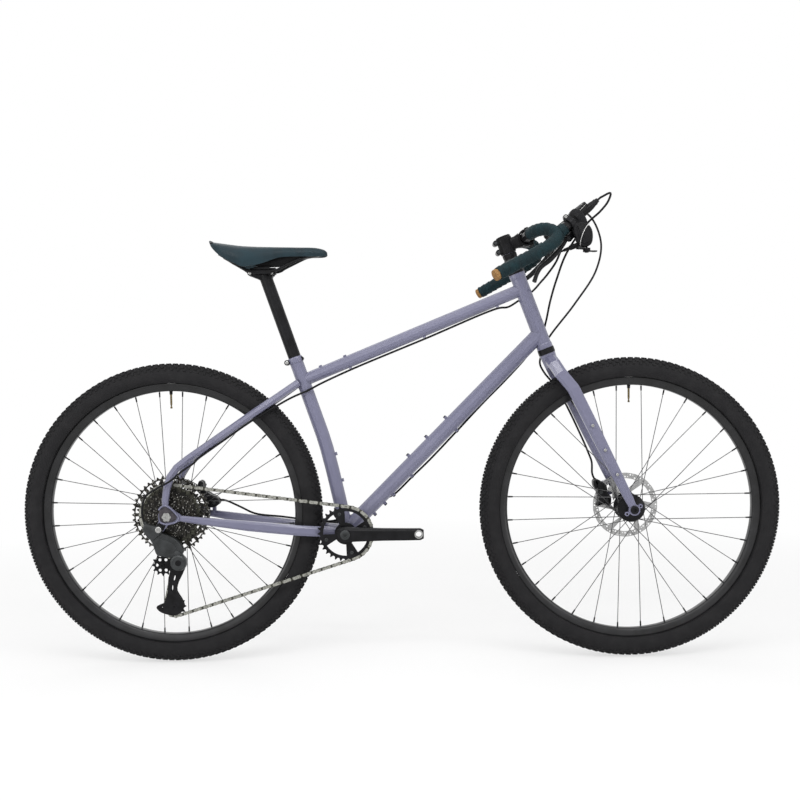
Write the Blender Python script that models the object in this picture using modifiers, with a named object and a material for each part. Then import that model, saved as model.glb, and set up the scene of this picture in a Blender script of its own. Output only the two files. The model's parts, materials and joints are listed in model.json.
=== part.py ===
"""Rigid 29 inch bicycle with a loop handlebar, disc brakes and one by eleven gearing.

X runs forward, Y to the rider's left and Z up. The origin is on the ground midway
between the two axles. All sizes are in metres.
"""
import math

import bmesh
import bpy
from mathutils import Matrix, Vector

# Clearances
GAP = 0.0003
RUNNING = 0.0004
FLAT_ANGLE = math.radians(0.2)
TUBE_ROUNDNESS = 5

# Wheels and layout
TYRE_R = 0.366
TYRE_HALF_WIDTH = 0.030
WHEELBASE = 1.113
BB_REACH = 0.4225
BB_DROP = 0.049
HEAD_ANGLE = math.radians(69.4)
SEAT_ANGLE = math.radians(71.1)
FORK_OFFSET = 0.052
WHEEL_STEPS = 28

# Head tube, headset and steerer, measured along the steering axis
AXLE_TO_CROWN = 0.421
LOWER_STACK = 0.014
HEAD_TUBE_LENGTH = 0.193
UPPER_STACK = 0.012
SPACER_STACK = 0.039
HEAD_TUBE_R = 0.0185
HEAD_TUBE_COLLAR = 0.0012
HEAD_TUBE_BORE_R = 0.0171
STEERER_R = 0.0143
STEERER_BORE_R = 0.0122

# Frame tubes
WALL = 0.0011
TOP_TUBE_R = 0.0153
TOP_TUBE_BELOW_SEAT_TOP = 0.060
TOP_TUBE_BELOW_HEAD_TOP = 0.0395
DOWN_TUBE_R = 0.0190
DOWN_TUBE_ABOVE_HEAD_FOOT = 0.038
SEAT_TUBE_R = 0.01675
SEAT_TUBE_LENGTH = 0.449
SEAT_TUBE_AHEAD = 0.026
SEAT_BEND_CENTRE = 0.196
SEAT_BEND_END = 0.250
SHELL_R = 0.0200
SHELL_BORE_R = 0.0170
SHELL_HALF = 0.0365
SEATSTAY_R = 0.0092
CHAINSTAY_HALF_HEIGHT = 0.0130
BOSS_R = 0.0045
BOSS_HEIGHT = 0.0045

# Seatpost and saddle
SEATPOST_R = 0.01545
SEATPOST_LENGTH = 0.341
SEATPOST_INSERT = 0.128
RAIL_R = 0.0035
RAIL_SPREAD = 0.022
CLAMP_LENGTH = 0.044
SADDLE_SHELL = 0.0040

# Hubs and brakes
REAR_HUB_HALF = 0.0740
FRONT_HUB_HALF = 0.0550
REAR_AXLE_R = 0.0060
FRONT_AXLE_R = 0.0075
AXLE_HEAD_R = 0.0110
DROPOUT_THICK = 0.0078
FRONT_DROPOUT_THICK = 0.0090
ROTOR_R = 0.0800
ROTOR_BAND = 0.0155
ROTOR_THICK = 0.0018
REAR_ROTOR_Y = 0.0552
FRONT_ROTOR_Y = 0.0430
SPOKE_COUNT = 32
SPOKE_R = 0.0009
SPOKE_LAY = 0.0010
SPOKE_CROSSES = 3
SPOKE_RIM_Y = 0.0030
FLANGE_HALF = 0.0021
HUB_STEPS = 12
RIM_BED_R = 0.2975
RIM_HALF_WIDTH = 0.0150
RIM_HOOK_R = 0.3165
DRUM_R = 0.0335
REAR_FLANGE_R = 0.0290

# Drivetrain
CHAIN_PITCH = 0.0127
CHAINRING_TEETH = 32
SPROCKET_TEETH = (46, 40, 36, 32, 28, 24, 21, 18, 15, 13, 11)
CHAIN_ON_INDEX = 2
PULLEY_TEETH = 12
SPROCKET_STEP = 0.0038
BIG_SPROCKET_Y = -0.0310
TOOTH_THICK = 0.0016
CHAINRING_Y = -0.0520
CHAIN_WIDTH = 0.0054
CHAIN_PLATE = 0.0016
CHAIN_HEIGHT = 0.0082
RING_WRAP_STEPS = 7
PULLEY_WRAP_STEPS = 5
CHAIN_LEAD = 0.0300
CHAIN_PIN_R = 0.0028
CRANK_LENGTH = 0.1750
SPINDLE_R = 0.0120
CUP_FACE = 0.0470
PEDAL_HOLE_R = 0.0071

# Handlebar and controls
STEM_LENGTH = 0.050
STEM_HEIGHT = 0.040
BAR_CLAMP_R = 0.0159
BAR_R = 0.0111
TAPE_THICK = 0.0042
TAPE_LAP = 0.0012
TAPE_PITCH = 0.0150
HOSE_R = 0.0025
HOSE_LEAD = 0.0080
HOSE_CLEAR = 0.0012
BAR_WALL = 0.0022
SPACER_R = 0.0175

# Brakes and bosses
CALIPER_LENGTH = 0.046
CALIPER_WIDTH = 0.034
CALIPER_HEIGHT = 0.027
REAR_CALIPER_TILT = math.radians(8.5)
FRONT_CALIPER_TILT = math.radians(63.9)
HANGER_BOLT_R = 0.0042
DROPOUT_TOP = 0.0270
GUIDE_SHARES = (0.205, 0.542, 0.8735)
GUIDE_HEIGHT = 0.0022
GUIDE_SIDE = 0.006
DOWN_LOWER_BOSSES = (0.077, 0.113, 0.143, 0.207, 0.363)
DOWN_UPPER_BOSSES = (0.237, 0.300, 0.366)
SEAT_BOSSES = (0.120, 0.184)
LEG_BOSSES = (0.225, 0.160, 0.0955)
CASSETTE_FACE = BIG_SPROCKET_Y + 0.0030
CARRIER_R = 0.0172
SPROCKET_STEPS = 12
SPROCKET_GROOVE = 0.0150
CRANK_BOSS_R = 0.0180
PULLEY_PIN_R = 0.0030
CAGE_PLATE = 0.0022
CAGE_HALF = 0.0052
CAGE_STUB_R = 0.0060
KNUCKLE_NEAR = -0.0490
KNUCKLE_FAR = -0.0740
LINK_PIN_R = 0.0028

# Tape, end plugs and controls, with points given from the middle of the bar clamp
TAPE_R = BAR_R + TAPE_THICK
TAPE_BORE_R = BAR_R + 0.0011
TAPE_START_INDEX = 2
PLUG_R = (BAR_R - BAR_WALL) / math.sqrt(2.0) - GAP
STUB_FOOT = Vector((0.0500, -0.1640, -0.0150))
STUB_TIP = Vector((0.1035, -0.1500, 0.0294))
MASTER_REAR = Vector((0.0865, -0.1255, 0.0134))
MASTER_FRONT = Vector((0.1505, -0.1255, 0.0684))
LEVER_PIVOT = Vector((0.0765, -0.1460, -0.0206))
LEVER_BEND = (
    Vector((0.0635, -0.1515, -0.0356)),
    Vector((0.0315, -0.1700, -0.0676)),
    Vector((0.0055, -0.1890, -0.0906)),
)
LEVER_TIP = Vector((-0.0065, -0.2000, -0.1216))
GRIP_AIM = Vector((-0.0435, -0.2280, -0.0806))
LEVER_HALF = 0.0050
LEVER_PIN_R = 0.0025
POD = Vector((0.1190, -0.1580, -0.0250))
POD_PORT = Vector((-0.0130, 0.0080, -0.0090))
POD_SIZE = (0.0380, 0.0260, 0.0380)
SHIFT_PORT = Vector((0.0700, -0.1405, -0.0468))
THUMB_THICK = 0.0044
RELEASE_THICK = 0.0040
THUMB_REACH = Vector((-0.0230, -0.0140, 0.0))
RELEASE_REACH = Vector((0.0230, 0.0080, 0.0))
THUMB_PIN_R = 0.0025

# Saddle, with rail points given from the middle of the rail clamp
BOLT_REACH = 0.0260
BOLT_R = 0.0025
CRADLE_HEIGHT = 0.0085
CAP_HEIGHT = 0.0062
SADDLE_SIDE_POWER = 0.80
SADDLE_TOP_POWER = 0.60
ARCH_X = -0.1000
ARCH_HALF = 0.0520
ARCH_R = 0.0036
RAIL_ROUTE = (
    (0.1200, 0.0090, 0.0320),
    (0.1040, 0.0115, 0.0270),
    (0.0760, 0.0165, 0.0130),
    (0.0500, 0.0205, 0.0035),
    (0.0370, 0.0220, 0.0),
    (-0.0370, 0.0220, 0.0),
    (-0.0600, 0.0270, 0.0050),
    (-0.0820, 0.0330, 0.0200),
)
RAIL_END_Y = 0.0380

# Main points
UP = Vector((0.0, 0.0, 1.0))
LEFT = Vector((0.0, 1.0, 0.0))
REAR_AXLE = Vector((-WHEELBASE / 2.0, 0.0, TYRE_R))
FRONT_AXLE = Vector((WHEELBASE / 2.0, 0.0, TYRE_R))
BB = Vector((REAR_AXLE.x + BB_REACH, 0.0, TYRE_R - BB_DROP))
HEAD_UP = Vector((-math.cos(HEAD_ANGLE), 0.0, math.sin(HEAD_ANGLE)))
HEAD_AHEAD = Vector((math.sin(HEAD_ANGLE), 0.0, math.cos(HEAD_ANGLE)))
AXIS_FOOT = FRONT_AXLE - HEAD_AHEAD * FORK_OFFSET
SEAT_UP = Vector((-math.cos(SEAT_ANGLE), 0.0, math.sin(SEAT_ANGLE)))
SEAT_AHEAD = Vector((math.sin(SEAT_ANGLE), 0.0, math.cos(SEAT_ANGLE)))
SEAT_FOOT = BB + Vector((SEAT_TUBE_AHEAD, 0.0, 0.0))

HEAD_FOOT_S = AXLE_TO_CROWN + LOWER_STACK
HEAD_TOP_S = HEAD_FOOT_S + HEAD_TUBE_LENGTH
STEM_FOOT_S = HEAD_TOP_S + UPPER_STACK + SPACER_STACK
STEM_TOP_S = STEM_FOOT_S + STEM_HEIGHT


def on_axis(along, ahead=0.0, side=0.0):
    """Point at a distance along the steering axis, ahead of it and to its left."""
    return AXIS_FOOT + HEAD_UP * along + HEAD_AHEAD * ahead + LEFT * side


def on_seat(along, ahead=0.0, side=0.0):
    """Point at a distance up the straight seat tube, ahead of it and to its left."""
    return SEAT_FOOT + SEAT_UP * along + SEAT_AHEAD * ahead + LEFT * side


def pitch_radius(teeth):
    return CHAIN_PITCH / (2.0 * math.sin(math.pi / teeth))


def mirrored(points):
    return [Vector((p.x, -p.y, p.z)) for p in points]


BAR_CENTRE = on_axis(STEM_FOOT_S + STEM_HEIGHT / 2.0, STEM_LENGTH)
SEAT_TUBE_TOP = on_seat(SEAT_TUBE_LENGTH)
CHAIN_Y = BIG_SPROCKET_Y - CHAIN_ON_INDEX * SPROCKET_STEP
GUIDE_PULLEY = REAR_AXLE + Vector((-0.0215, CHAIN_Y, -0.1220))
TENSION_PULLEY = REAR_AXLE + Vector((0.0055, CHAIN_Y, -0.2230))
CAGE_PIVOT = REAR_AXLE + Vector((0.0225, -0.0620, -0.1120))
LINK_FOOT = REAR_AXLE + Vector((0.0155, -0.0640, -0.0950))
LINK_HEAD = REAR_AXLE + Vector((-0.0375, -0.0845, -0.0440))
HANGER_BOLT = REAR_AXLE + Vector((-0.0177, 0.0, -0.0287))
HOUSING_END = REAR_AXLE + Vector((-0.0520, -0.0870, -0.0100))
HOUSING_STOP = Vector((0.0060, 0.0, -0.0140))
REAR_CALIPER = REAR_AXLE + Vector((0.0735, REAR_ROTOR_Y, 0.0270))
REAR_HOSE_END = REAR_CALIPER + Vector((0.0300, 0.0060, -0.0030))
FRONT_CALIPER = FRONT_AXLE + Vector((-0.0615, FRONT_ROTOR_Y, 0.0360))
FRONT_HOSE_END = FRONT_CALIPER + Vector((-0.0130, 0.0080, 0.0290))
HEAD_TURN = Matrix((HEAD_AHEAD, LEFT, HEAD_UP)).transposed()
POST_HEAD = on_seat(SEAT_TUBE_LENGTH - SEATPOST_INSERT + SEATPOST_LENGTH)
CLAMP_CENTRE = POST_HEAD + Vector((-0.0036, 0.0, 0.0077))

# Scene and materials


def clear_scene():
    for item in list(bpy.data.objects):
        bpy.data.objects.remove(item, do_unlink=True)


clear_scene()
BICYCLE = bpy.data.collections.new("bicycle")
CUTTERS = bpy.data.collections.new("cutters")
bpy.context.scene.collection.children.link(BICYCLE)
bpy.context.scene.collection.children.link(CUTTERS)


def material(name, colour, roughness, metallic):
    made = bpy.data.materials.new(name)
    made.use_nodes = True
    shader = made.node_tree.nodes["Principled BSDF"]
    shader.inputs["Base Color"].default_value = (*colour, 1.0)
    shader.inputs["Roughness"].default_value = roughness
    shader.inputs["Metallic"].default_value = metallic
    return made


FINISHES = {
    "lilac_paint": ((0.36, 0.35, 0.50), 0.30, 0.0),
    "black_alloy": ((0.020, 0.020, 0.022), 0.38, 0.6),
    "black_plastic": ((0.018, 0.018, 0.020), 0.50, 0.0),
    "grey_alloy": ((0.070, 0.072, 0.078), 0.40, 0.7),
    "silver_steel": ((0.58, 0.58, 0.56), 0.28, 1.0),
    "chain_steel": ((0.34, 0.34, 0.28), 0.35, 1.0),
    "tyre_rubber": ((0.016, 0.016, 0.017), 0.85, 0.0),
    "teal_tape": ((0.012, 0.042, 0.055), 0.62, 0.0),
    "teal_rubber": ((0.014, 0.050, 0.066), 0.55, 0.0),
    "tan_cork": ((0.40, 0.23, 0.09), 0.80, 0.0),
}


def finish(obj, look, parent=None, smooth_angle=40.0):
    """Give a finished piece its own material, its parent and its shading."""
    colour, roughness, metallic = FINISHES[look]
    obj.data.materials.clear()
    obj.data.materials.append(material(obj.name + "_" + look, colour, roughness, metallic))
    obj.data.shade_smooth()
    obj.data.set_sharp_from_angle(angle=math.radians(smooth_angle))
    if parent is not None:
        bpy.context.view_layer.update()
        obj.data.transform(parent.matrix_world.inverted() @ obj.matrix_world)
        obj.parent = parent
        obj.matrix_basis = Matrix.Identity(4)
    return obj


def joint_empty(name, place, parent=None):
    """An empty on a joint's axis, which carries the pieces that turn or slide there."""
    empty = bpy.data.objects.new(name, None)
    empty.empty_display_size = 0.03
    BICYCLE.objects.link(empty)
    empty.location = place
    if parent is not None:
        bpy.context.view_layer.update()
        empty.parent = parent
        empty.matrix_parent_inverse = parent.matrix_world.inverted()
    bpy.context.view_layer.update()
    return empty


# Shape tools


def link(name, data):
    obj = bpy.data.objects.new(name, data)
    BICYCLE.objects.link(obj)
    return obj


def mesh_object(name, bm):
    bm.normal_update()
    bmesh.ops.recalc_face_normals(bm, faces=bm.faces)
    mesh = bpy.data.meshes.new(name)
    bm.to_mesh(mesh)
    bm.free()
    return link(name, mesh)


def bake(obj, weld=0.00001):
    """Replace an object by the mesh that its curve or modifiers make."""
    graph = bpy.context.evaluated_depsgraph_get()
    graph.update()
    mesh = bpy.data.meshes.new_from_object(obj.evaluated_get(graph))
    bm = bmesh.new()
    bm.from_mesh(mesh)
    bmesh.ops.remove_doubles(bm, verts=bm.verts, dist=weld)
    bmesh.ops.dissolve_degenerate(bm, edges=bm.edges, dist=weld)
    bm.transform(obj.matrix_world)
    bm.to_mesh(mesh)
    bm.free()
    name = obj.name
    bpy.data.objects.remove(obj, do_unlink=True)
    made = link(name, mesh)
    mesh.name = name
    return made


def face_out(obj):
    """Turn all faces of a closed mesh outward."""
    bm = bmesh.new()
    bm.from_mesh(obj.data)
    bmesh.ops.recalc_face_normals(bm, faces=bm.faces)
    bm.to_mesh(obj.data)
    bm.free()
    return obj


def merge_flat_faces(obj):
    """Join neighbouring faces that lie in one plane, which Booleans leave split."""
    bm = bmesh.new()
    bm.from_mesh(obj.data)
    bmesh.ops.dissolve_limit(
        bm,
        angle_limit=FLAT_ANGLE,
        use_dissolve_boundaries=False,
        verts=bm.verts,
        edges=bm.edges,
    )
    bm.to_mesh(obj.data)
    bm.free()
    return obj


def combine(target, tools, operation):
    """Union, difference or intersection of a piece with other closed shapes."""
    for tool in tools:
        CUTTERS.objects.link(tool)
        BICYCLE.objects.unlink(tool)
        tool.hide_render = True
        tool.display_type = "WIRE"
        step = target.modifiers.new(operation.lower(), "BOOLEAN")
        step.operation = operation
        step.solver = "EXACT"
        step.object = tool
    made = bake(target)
    for tool in tools:
        bpy.data.objects.remove(tool, do_unlink=True)
    return merge_flat_faces(made)


def join(target, *tools):
    return combine(target, tools, "UNION")


def cut(target, *tools):
    return combine(target, tools, "DIFFERENCE")


def mirror_piece(obj, name):
    """The same piece on the other side of the bicycle's middle plane."""
    bpy.context.view_layer.update()
    bm = bmesh.new()
    bm.from_mesh(obj.data)
    bm.transform(Matrix.Scale(-1.0, 4, LEFT) @ obj.matrix_world)
    return mesh_object(name, bm)


def rod(name, start, end, radius, end_radius=None, sides=12):
    """A round bar, or a cone, between two points."""
    start = Vector(start)
    end = Vector(end)
    span = end - start
    turn = span.to_track_quat("Z", "Y").to_matrix().to_4x4()
    bm = bmesh.new()
    bmesh.ops.create_cone(
        bm,
        cap_ends=True,
        segments=sides,
        radius1=radius,
        radius2=radius if end_radius is None else end_radius,
        depth=span.length,
        matrix=Matrix.Translation((start + end) / 2.0) @ turn,
    )
    return mesh_object(name, bm)


def block(name, centre, size, turn=None, bevel=0.0):
    """A box with its size along its own axes and, if wanted, bevelled edges."""
    bm = bmesh.new()
    bmesh.ops.create_cube(bm, size=1.0)
    bmesh.ops.scale(bm, vec=Vector(size), verts=bm.verts)
    if bevel > 0.0:
        bmesh.ops.bevel(bm, geom=bm.edges[:], offset=bevel, segments=1, affect="EDGES")
    place = Matrix.Translation(Vector(centre))
    if turn is not None:
        place = place @ turn.to_4x4()
    bm.transform(place)
    return mesh_object(name, bm)


def tube(name, points, radius, radii=None, resolution=2):
    """A round wire or tube along points, as a filled curve turned into a mesh."""
    curve = bpy.data.curves.new(name, "CURVE")
    curve.dimensions = "3D"
    curve.bevel_depth = radius
    curve.bevel_resolution = resolution
    curve.use_fill_caps = True
    spline = curve.splines.new("POLY")
    spline.points.add(len(points) - 1)
    for index, place in enumerate(points):
        spline.points[index].co = (*place, 1.0)
        if radii is not None:
            spline.points[index].radius = radii[index] / radius
    return face_out(bake(link(name, curve)))


def turned(name, profile, centre, steps=16, axis="Y"):
    """A solid of revolution about a line through centre along Y, or along another axis.

    The profile's points are (radius, height along the axis). It is a closed outline,
    or runs from the axis to the axis.
    """
    on_line = profile[0][0] == 0.0
    area = 0.0
    for index, (radius, height) in enumerate(profile):
        next_radius, next_height = profile[(index + 1) % len(profile)]
        area += radius * next_height - next_radius * height
    ordered = list(profile) if area < 0.0 else list(reversed(profile))
    bm = bmesh.new()
    corners = [bm.verts.new((radius, 0.0, height)) for radius, height in ordered]
    for first, second in zip(corners, corners[1:]):
        bm.edges.new((first, second))
    if not on_line:
        bm.edges.new((corners[-1], corners[0]))
    mesh = bpy.data.meshes.new(name)
    bm.to_mesh(mesh)
    bm.free()
    obj = link(name, mesh)
    screw = obj.modifiers.new("screw", "SCREW")
    screw.steps = steps
    screw.render_steps = steps
    screw.use_merge_vertices = True
    screw.merge_threshold = 0.00001
    if axis == "Y":
        obj.rotation_euler = (-math.pi / 2.0, 0.0, 0.0)
        obj.location = centre
    else:
        turn = Vector(axis).to_track_quat("Z", "Y")
        obj.rotation_mode = "QUATERNION"
        obj.rotation_quaternion = turn
        obj.location = centre
    bpy.context.view_layer.update()
    return face_out(bake(obj))


def plate(name, outline, y_low, y_high, holes=()):
    """A flat plate in a plane of constant Y, from outlines of (x, z) points."""
    curve = bpy.data.curves.new(name, "CURVE")
    curve.dimensions = "2D"
    curve.fill_mode = "BOTH"
    curve.extrude = (y_high - y_low) / 2.0
    for ring in (outline, *holes):
        spline = curve.splines.new("POLY")
        spline.points.add(len(ring) - 1)
        for index, (x, z) in enumerate(ring):
            spline.points[index].co = (x, z, 0.0, 1.0)
        spline.use_cyclic_u = True
    obj = link(name, curve)
    obj.rotation_euler = (math.pi / 2.0, 0.0, 0.0)
    obj.location = (0.0, (y_low + y_high) / 2.0, 0.0)
    bpy.context.view_layer.update()
    return bake(obj)


def circle(centre, radius, count, phase=0.0):
    """Points (x, z) round a circle."""
    ring = []
    for index in range(count):
        angle = phase + 2.0 * math.pi * index / count
        ring.append((centre.x + radius * math.cos(angle), centre.z + radius * math.sin(angle)))
    return ring


def loft(name, stations, sides=12, power=1.0, closed=False):
    """A solid through sections, each a centre and two half axes of a rounded oval."""
    bm = bmesh.new()
    rings = []
    for centre, across, upward in stations:
        ring = []
        for index in range(sides):
            angle = 2.0 * math.pi * (index + 0.5) / sides
            c = math.cos(angle)
            s = math.sin(angle)
            c = math.copysign(abs(c) ** power, c)
            s = math.copysign(abs(s) ** power, s)
            ring.append(bm.verts.new(centre + across * c + upward * s))
        rings.append(ring)
    pairs = list(zip(rings, rings[1:]))
    if closed:
        pairs.append((rings[-1], rings[0]))
    for low, high in pairs:
        for index in range(sides):
            after = (index + 1) % sides
            bm.faces.new((low[index], low[after], high[after], high[index]))
    if not closed:
        bm.faces.new(rings[0])
        bm.faces.new(rings[-1])
    return mesh_object(name, bm)


def smooth_path(points, count):
    """Evenly spread points on a smooth curve through the given points."""
    ends = [points[0] * 2.0 - points[1], *points, points[-1] * 2.0 - points[-2]]
    fine = []
    for index in range(1, len(ends) - 2):
        p0, p1, p2, p3 = ends[index - 1:index + 3]
        for step in range(12):
            t = step / 12.0
            fine.append(
                0.5 * (2.0 * p1 + (p2 - p0) * t + (2.0 * p0 - 5.0 * p1 + 4.0 * p2 - p3) * t * t
                       + (3.0 * p1 - p0 - 3.0 * p2 + p3) * t * t * t)
            )
    fine.append(points[-1].copy())
    lengths = [0.0]
    for first, second in zip(fine, fine[1:]):
        lengths.append(lengths[-1] + (second - first).length)
    spread = []
    place = 0
    for index in range(count):
        target = lengths[-1] * index / (count - 1)
        while place < len(fine) - 2 and lengths[place + 1] < target:
            place += 1
        share = (target - lengths[place]) / max(lengths[place + 1] - lengths[place], 1e-9)
        spread.append(fine[place].lerp(fine[place + 1], min(share, 1.0)))
    return spread


def bosses(places, outward, radius=BOSS_R, height=BOSS_HEIGHT, sunk=0.002):
    """Threaded bosses that stand on a tube at the given surface points."""
    made = []
    for place in places:
        made.append(rod("boss", place - outward * sunk, place + outward * height, radius, sides=5))
    return made


# Frame


def seat_tube_path():
    """Centre line of the seat tube: straight above, bent back to the shell below."""
    start = BB
    control = on_seat(SEAT_BEND_CENTRE)
    end = on_seat(SEAT_BEND_END)
    points = []
    for index in range(5):
        t = index / 4.0
        points.append(start * (1 - t) ** 2 + control * 2 * t * (1 - t) + end * t * t)
    points.append(SEAT_TUBE_TOP)
    return points


def head_tube_cutter(extra=GAP):
    return rod(
        "head_cutter",
        on_axis(HEAD_FOOT_S - 0.02),
        on_axis(HEAD_TOP_S + 0.02),
        HEAD_TUBE_R + extra,
        sides=16,
    )


def collar_cutter():
    """Room for the thicker foot of the head tube."""
    radius = HEAD_TUBE_R + HEAD_TUBE_COLLAR + GAP
    return rod("collar_cutter", on_axis(HEAD_FOOT_S - 0.02), on_axis(HEAD_FOOT_S + 0.0135), radius,
               sides=16)


def shell_cutter(extra=GAP):
    reach = SHELL_HALF + 0.02
    return rod("shell_cutter", BB - LEFT * reach, BB + LEFT * reach, SHELL_R + extra, sides=16)


def seat_tube_cutter(extra=GAP):
    path = seat_tube_path()
    path[-1] = path[-1] + SEAT_UP * 0.03
    return tube("seat_cutter", path, SEAT_TUBE_R + extra, resolution=TUBE_ROUNDNESS)


def hollow(name, points, radius, wall, resolution=TUBE_ROUNDNESS):
    """A thin walled tube that is open at both ends."""
    outer = tube(name, points, radius, resolution=resolution)
    first = points[0] + (points[0] - points[1]).normalized() * 0.002
    last = points[-1] + (points[-1] - points[-2]).normalized() * 0.002
    inner = tube("bore", [first, *points[1:-1], last], radius - wall, resolution=resolution)
    return cut(outer, inner)


TOP_TUBE_REAR = on_seat(SEAT_TUBE_LENGTH - TOP_TUBE_BELOW_SEAT_TOP)
TOP_TUBE_FRONT = on_axis(HEAD_TOP_S - TOP_TUBE_BELOW_HEAD_TOP)
DOWN_TUBE_FRONT = on_axis(HEAD_FOOT_S + DOWN_TUBE_ABOVE_HEAD_FOOT)
TOP_DIR = (TOP_TUBE_FRONT - TOP_TUBE_REAR).normalized()
TOP_NORMAL = Vector((-TOP_DIR.z, 0.0, TOP_DIR.x))
DOWN_DIR = (DOWN_TUBE_FRONT - BB).normalized()
TOP_TUBE_LENGTH = (TOP_TUBE_FRONT - TOP_TUBE_REAR).length
DOWN_TUBE_LENGTH = (DOWN_TUBE_FRONT - BB).length
DOWN_NORMAL = Vector((-DOWN_DIR.z, 0.0, DOWN_DIR.x))


def build_head_tube():
    outer = turned(
        "head_tube",
        [
            (HEAD_TUBE_BORE_R, 0.0),
            (HEAD_TUBE_R + HEAD_TUBE_COLLAR, 0.0),
            (HEAD_TUBE_R + HEAD_TUBE_COLLAR, 0.010),
            (HEAD_TUBE_R, 0.013),
            (HEAD_TUBE_R, HEAD_TUBE_LENGTH - 0.013),
            (HEAD_TUBE_R + HEAD_TUBE_COLLAR, HEAD_TUBE_LENGTH - 0.010),
            (HEAD_TUBE_R + HEAD_TUBE_COLLAR, HEAD_TUBE_LENGTH),
            (HEAD_TUBE_BORE_R, HEAD_TUBE_LENGTH),
        ],
        on_axis(HEAD_FOOT_S),
        axis=HEAD_UP,
    )
    return finish(outer, "lilac_paint")


def build_top_tube():
    obj = hollow("top_tube", [TOP_TUBE_REAR, TOP_TUBE_FRONT], TOP_TUBE_R, WALL)
    obj = cut(obj, head_tube_cutter(), seat_tube_cutter())
    upper = [TOP_TUBE_REAR + TOP_DIR * s + TOP_NORMAL * TOP_TUBE_R for s in (0.052, 0.116)]
    guides = [TOP_TUBE_REAR + TOP_DIR * TOP_TUBE_LENGTH * s - TOP_NORMAL * TOP_TUBE_R
              - LEFT * GUIDE_SIDE for s in GUIDE_SHARES]
    obj = join(obj, *bosses(upper, TOP_NORMAL, height=0.003))
    obj = join(obj, *bosses(guides, -TOP_NORMAL, radius=0.004, height=0.0022))
    return finish(obj, "lilac_paint")


def build_down_tube():
    obj = hollow("down_tube", [BB, DOWN_TUBE_FRONT], DOWN_TUBE_R, WALL)
    obj = cut(obj, head_tube_cutter(), collar_cutter(), shell_cutter(), seat_tube_cutter())
    lower = [BB + DOWN_DIR * s - DOWN_NORMAL * DOWN_TUBE_R for s in DOWN_LOWER_BOSSES]
    upper = [BB + DOWN_DIR * s + DOWN_NORMAL * DOWN_TUBE_R for s in DOWN_UPPER_BOSSES]
    obj = join(obj, *bosses(lower, -DOWN_NORMAL))
    obj = join(obj, *bosses(upper, DOWN_NORMAL))
    return finish(obj, "lilac_paint")


def seat_tube_point(height):
    """Centre and forward normal of the bent seat tube at a height above the shell."""
    path = seat_tube_path()
    for first, second in zip(path, path[1:]):
        if first.z - BB.z <= height <= second.z - BB.z:
            share = (height - (first.z - BB.z)) / (second.z - first.z)
            along = (second - first).normalized()
            return first.lerp(second, share), Vector((along.z, 0.0, -along.x))
    return path[-1], SEAT_AHEAD


def build_seat_tube():
    path = seat_tube_path()
    obj = tube("seat_tube", path, SEAT_TUBE_R, resolution=TUBE_ROUNDNESS)
    path[-1] = path[-1] + SEAT_UP * 0.003
    bore = tube("bore", path, SEATPOST_R + 2.0 * GAP, resolution=TUBE_ROUNDNESS)
    obj = cut(obj, bore, shell_cutter())
    for height in SEAT_BOSSES:
        centre, ahead = seat_tube_point(height)
        obj = join(obj, *bosses([centre + ahead * SEAT_TUBE_R], ahead, sunk=0.0008))
    return finish(obj, "lilac_paint")


def build_shell():
    obj = turned(
        "bottom_bracket_shell",
        [
            (SHELL_BORE_R, -SHELL_HALF),
            (SHELL_R, -SHELL_HALF),
            (SHELL_R, SHELL_HALF),
            (SHELL_BORE_R, SHELL_HALF),
        ],
        BB,
    )
    return finish(obj, "lilac_paint")


def chainstay_stations():
    """Right chainstay: centre, half thickness and half height from the dropout forward."""
    path = (
        (0.016, -0.0782, 0.0000, 0.0034, 0.0065),
        (0.034, -0.0775, -0.0045, 0.0055, 0.0072),
        (0.070, -0.0735, -0.0100, 0.0080, 0.0085),
        (0.120, -0.0680, -0.0170, 0.0085, 0.0102),
        (0.190, -0.0590, -0.0270, 0.0085, CHAINSTAY_HALF_HEIGHT * 0.96),
        (0.260, -0.0505, -0.0355, 0.0080, CHAINSTAY_HALF_HEIGHT),
        (0.305, -0.0450, -0.0410, 0.0072, CHAINSTAY_HALF_HEIGHT),
        (0.345, -0.0388, -0.0445, 0.0062, CHAINSTAY_HALF_HEIGHT),
        (0.375, -0.0325, -0.0465, 0.0062, CHAINSTAY_HALF_HEIGHT * 0.97),
        (BB_REACH - 0.006, -0.0275, -BB_DROP, 0.0062, CHAINSTAY_HALF_HEIGHT * 0.95),
    )
    stations = []
    for ahead, side, rise, thick, high in path:
        centre = REAR_AXLE + Vector((ahead, side, rise))
        stations.append((centre, LEFT * thick, UP * high))
    return stations


def dropout_outline(with_hanger):
    """Side view of a rear dropout, with the derailleur hanger on the right one."""
    shape = [
        (-0.0120, DROPOUT_TOP),
        (0.0045, DROPOUT_TOP),
        (0.0150, 0.0170),
        (0.0330, 0.0040),
        (0.0370, -0.0040),
        (0.0300, -0.0110),
        (0.0060, -0.0165),
    ]
    if with_hanger:
        shape += [
            (-0.0050, -0.0290),
            (-0.0120, -0.0370),
            (-0.0210, -0.0380),
            (-0.0270, -0.0320),
            (-0.0250, -0.0200),
        ]
    else:
        shape += [(-0.0100, -0.0190)]
    shape += [(-0.0190, -0.0100), (-0.0200, 0.0060), (-0.0160, 0.0170)]
    return [(REAR_AXLE.x + x, REAR_AXLE.z + z) for x, z in shape]


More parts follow.
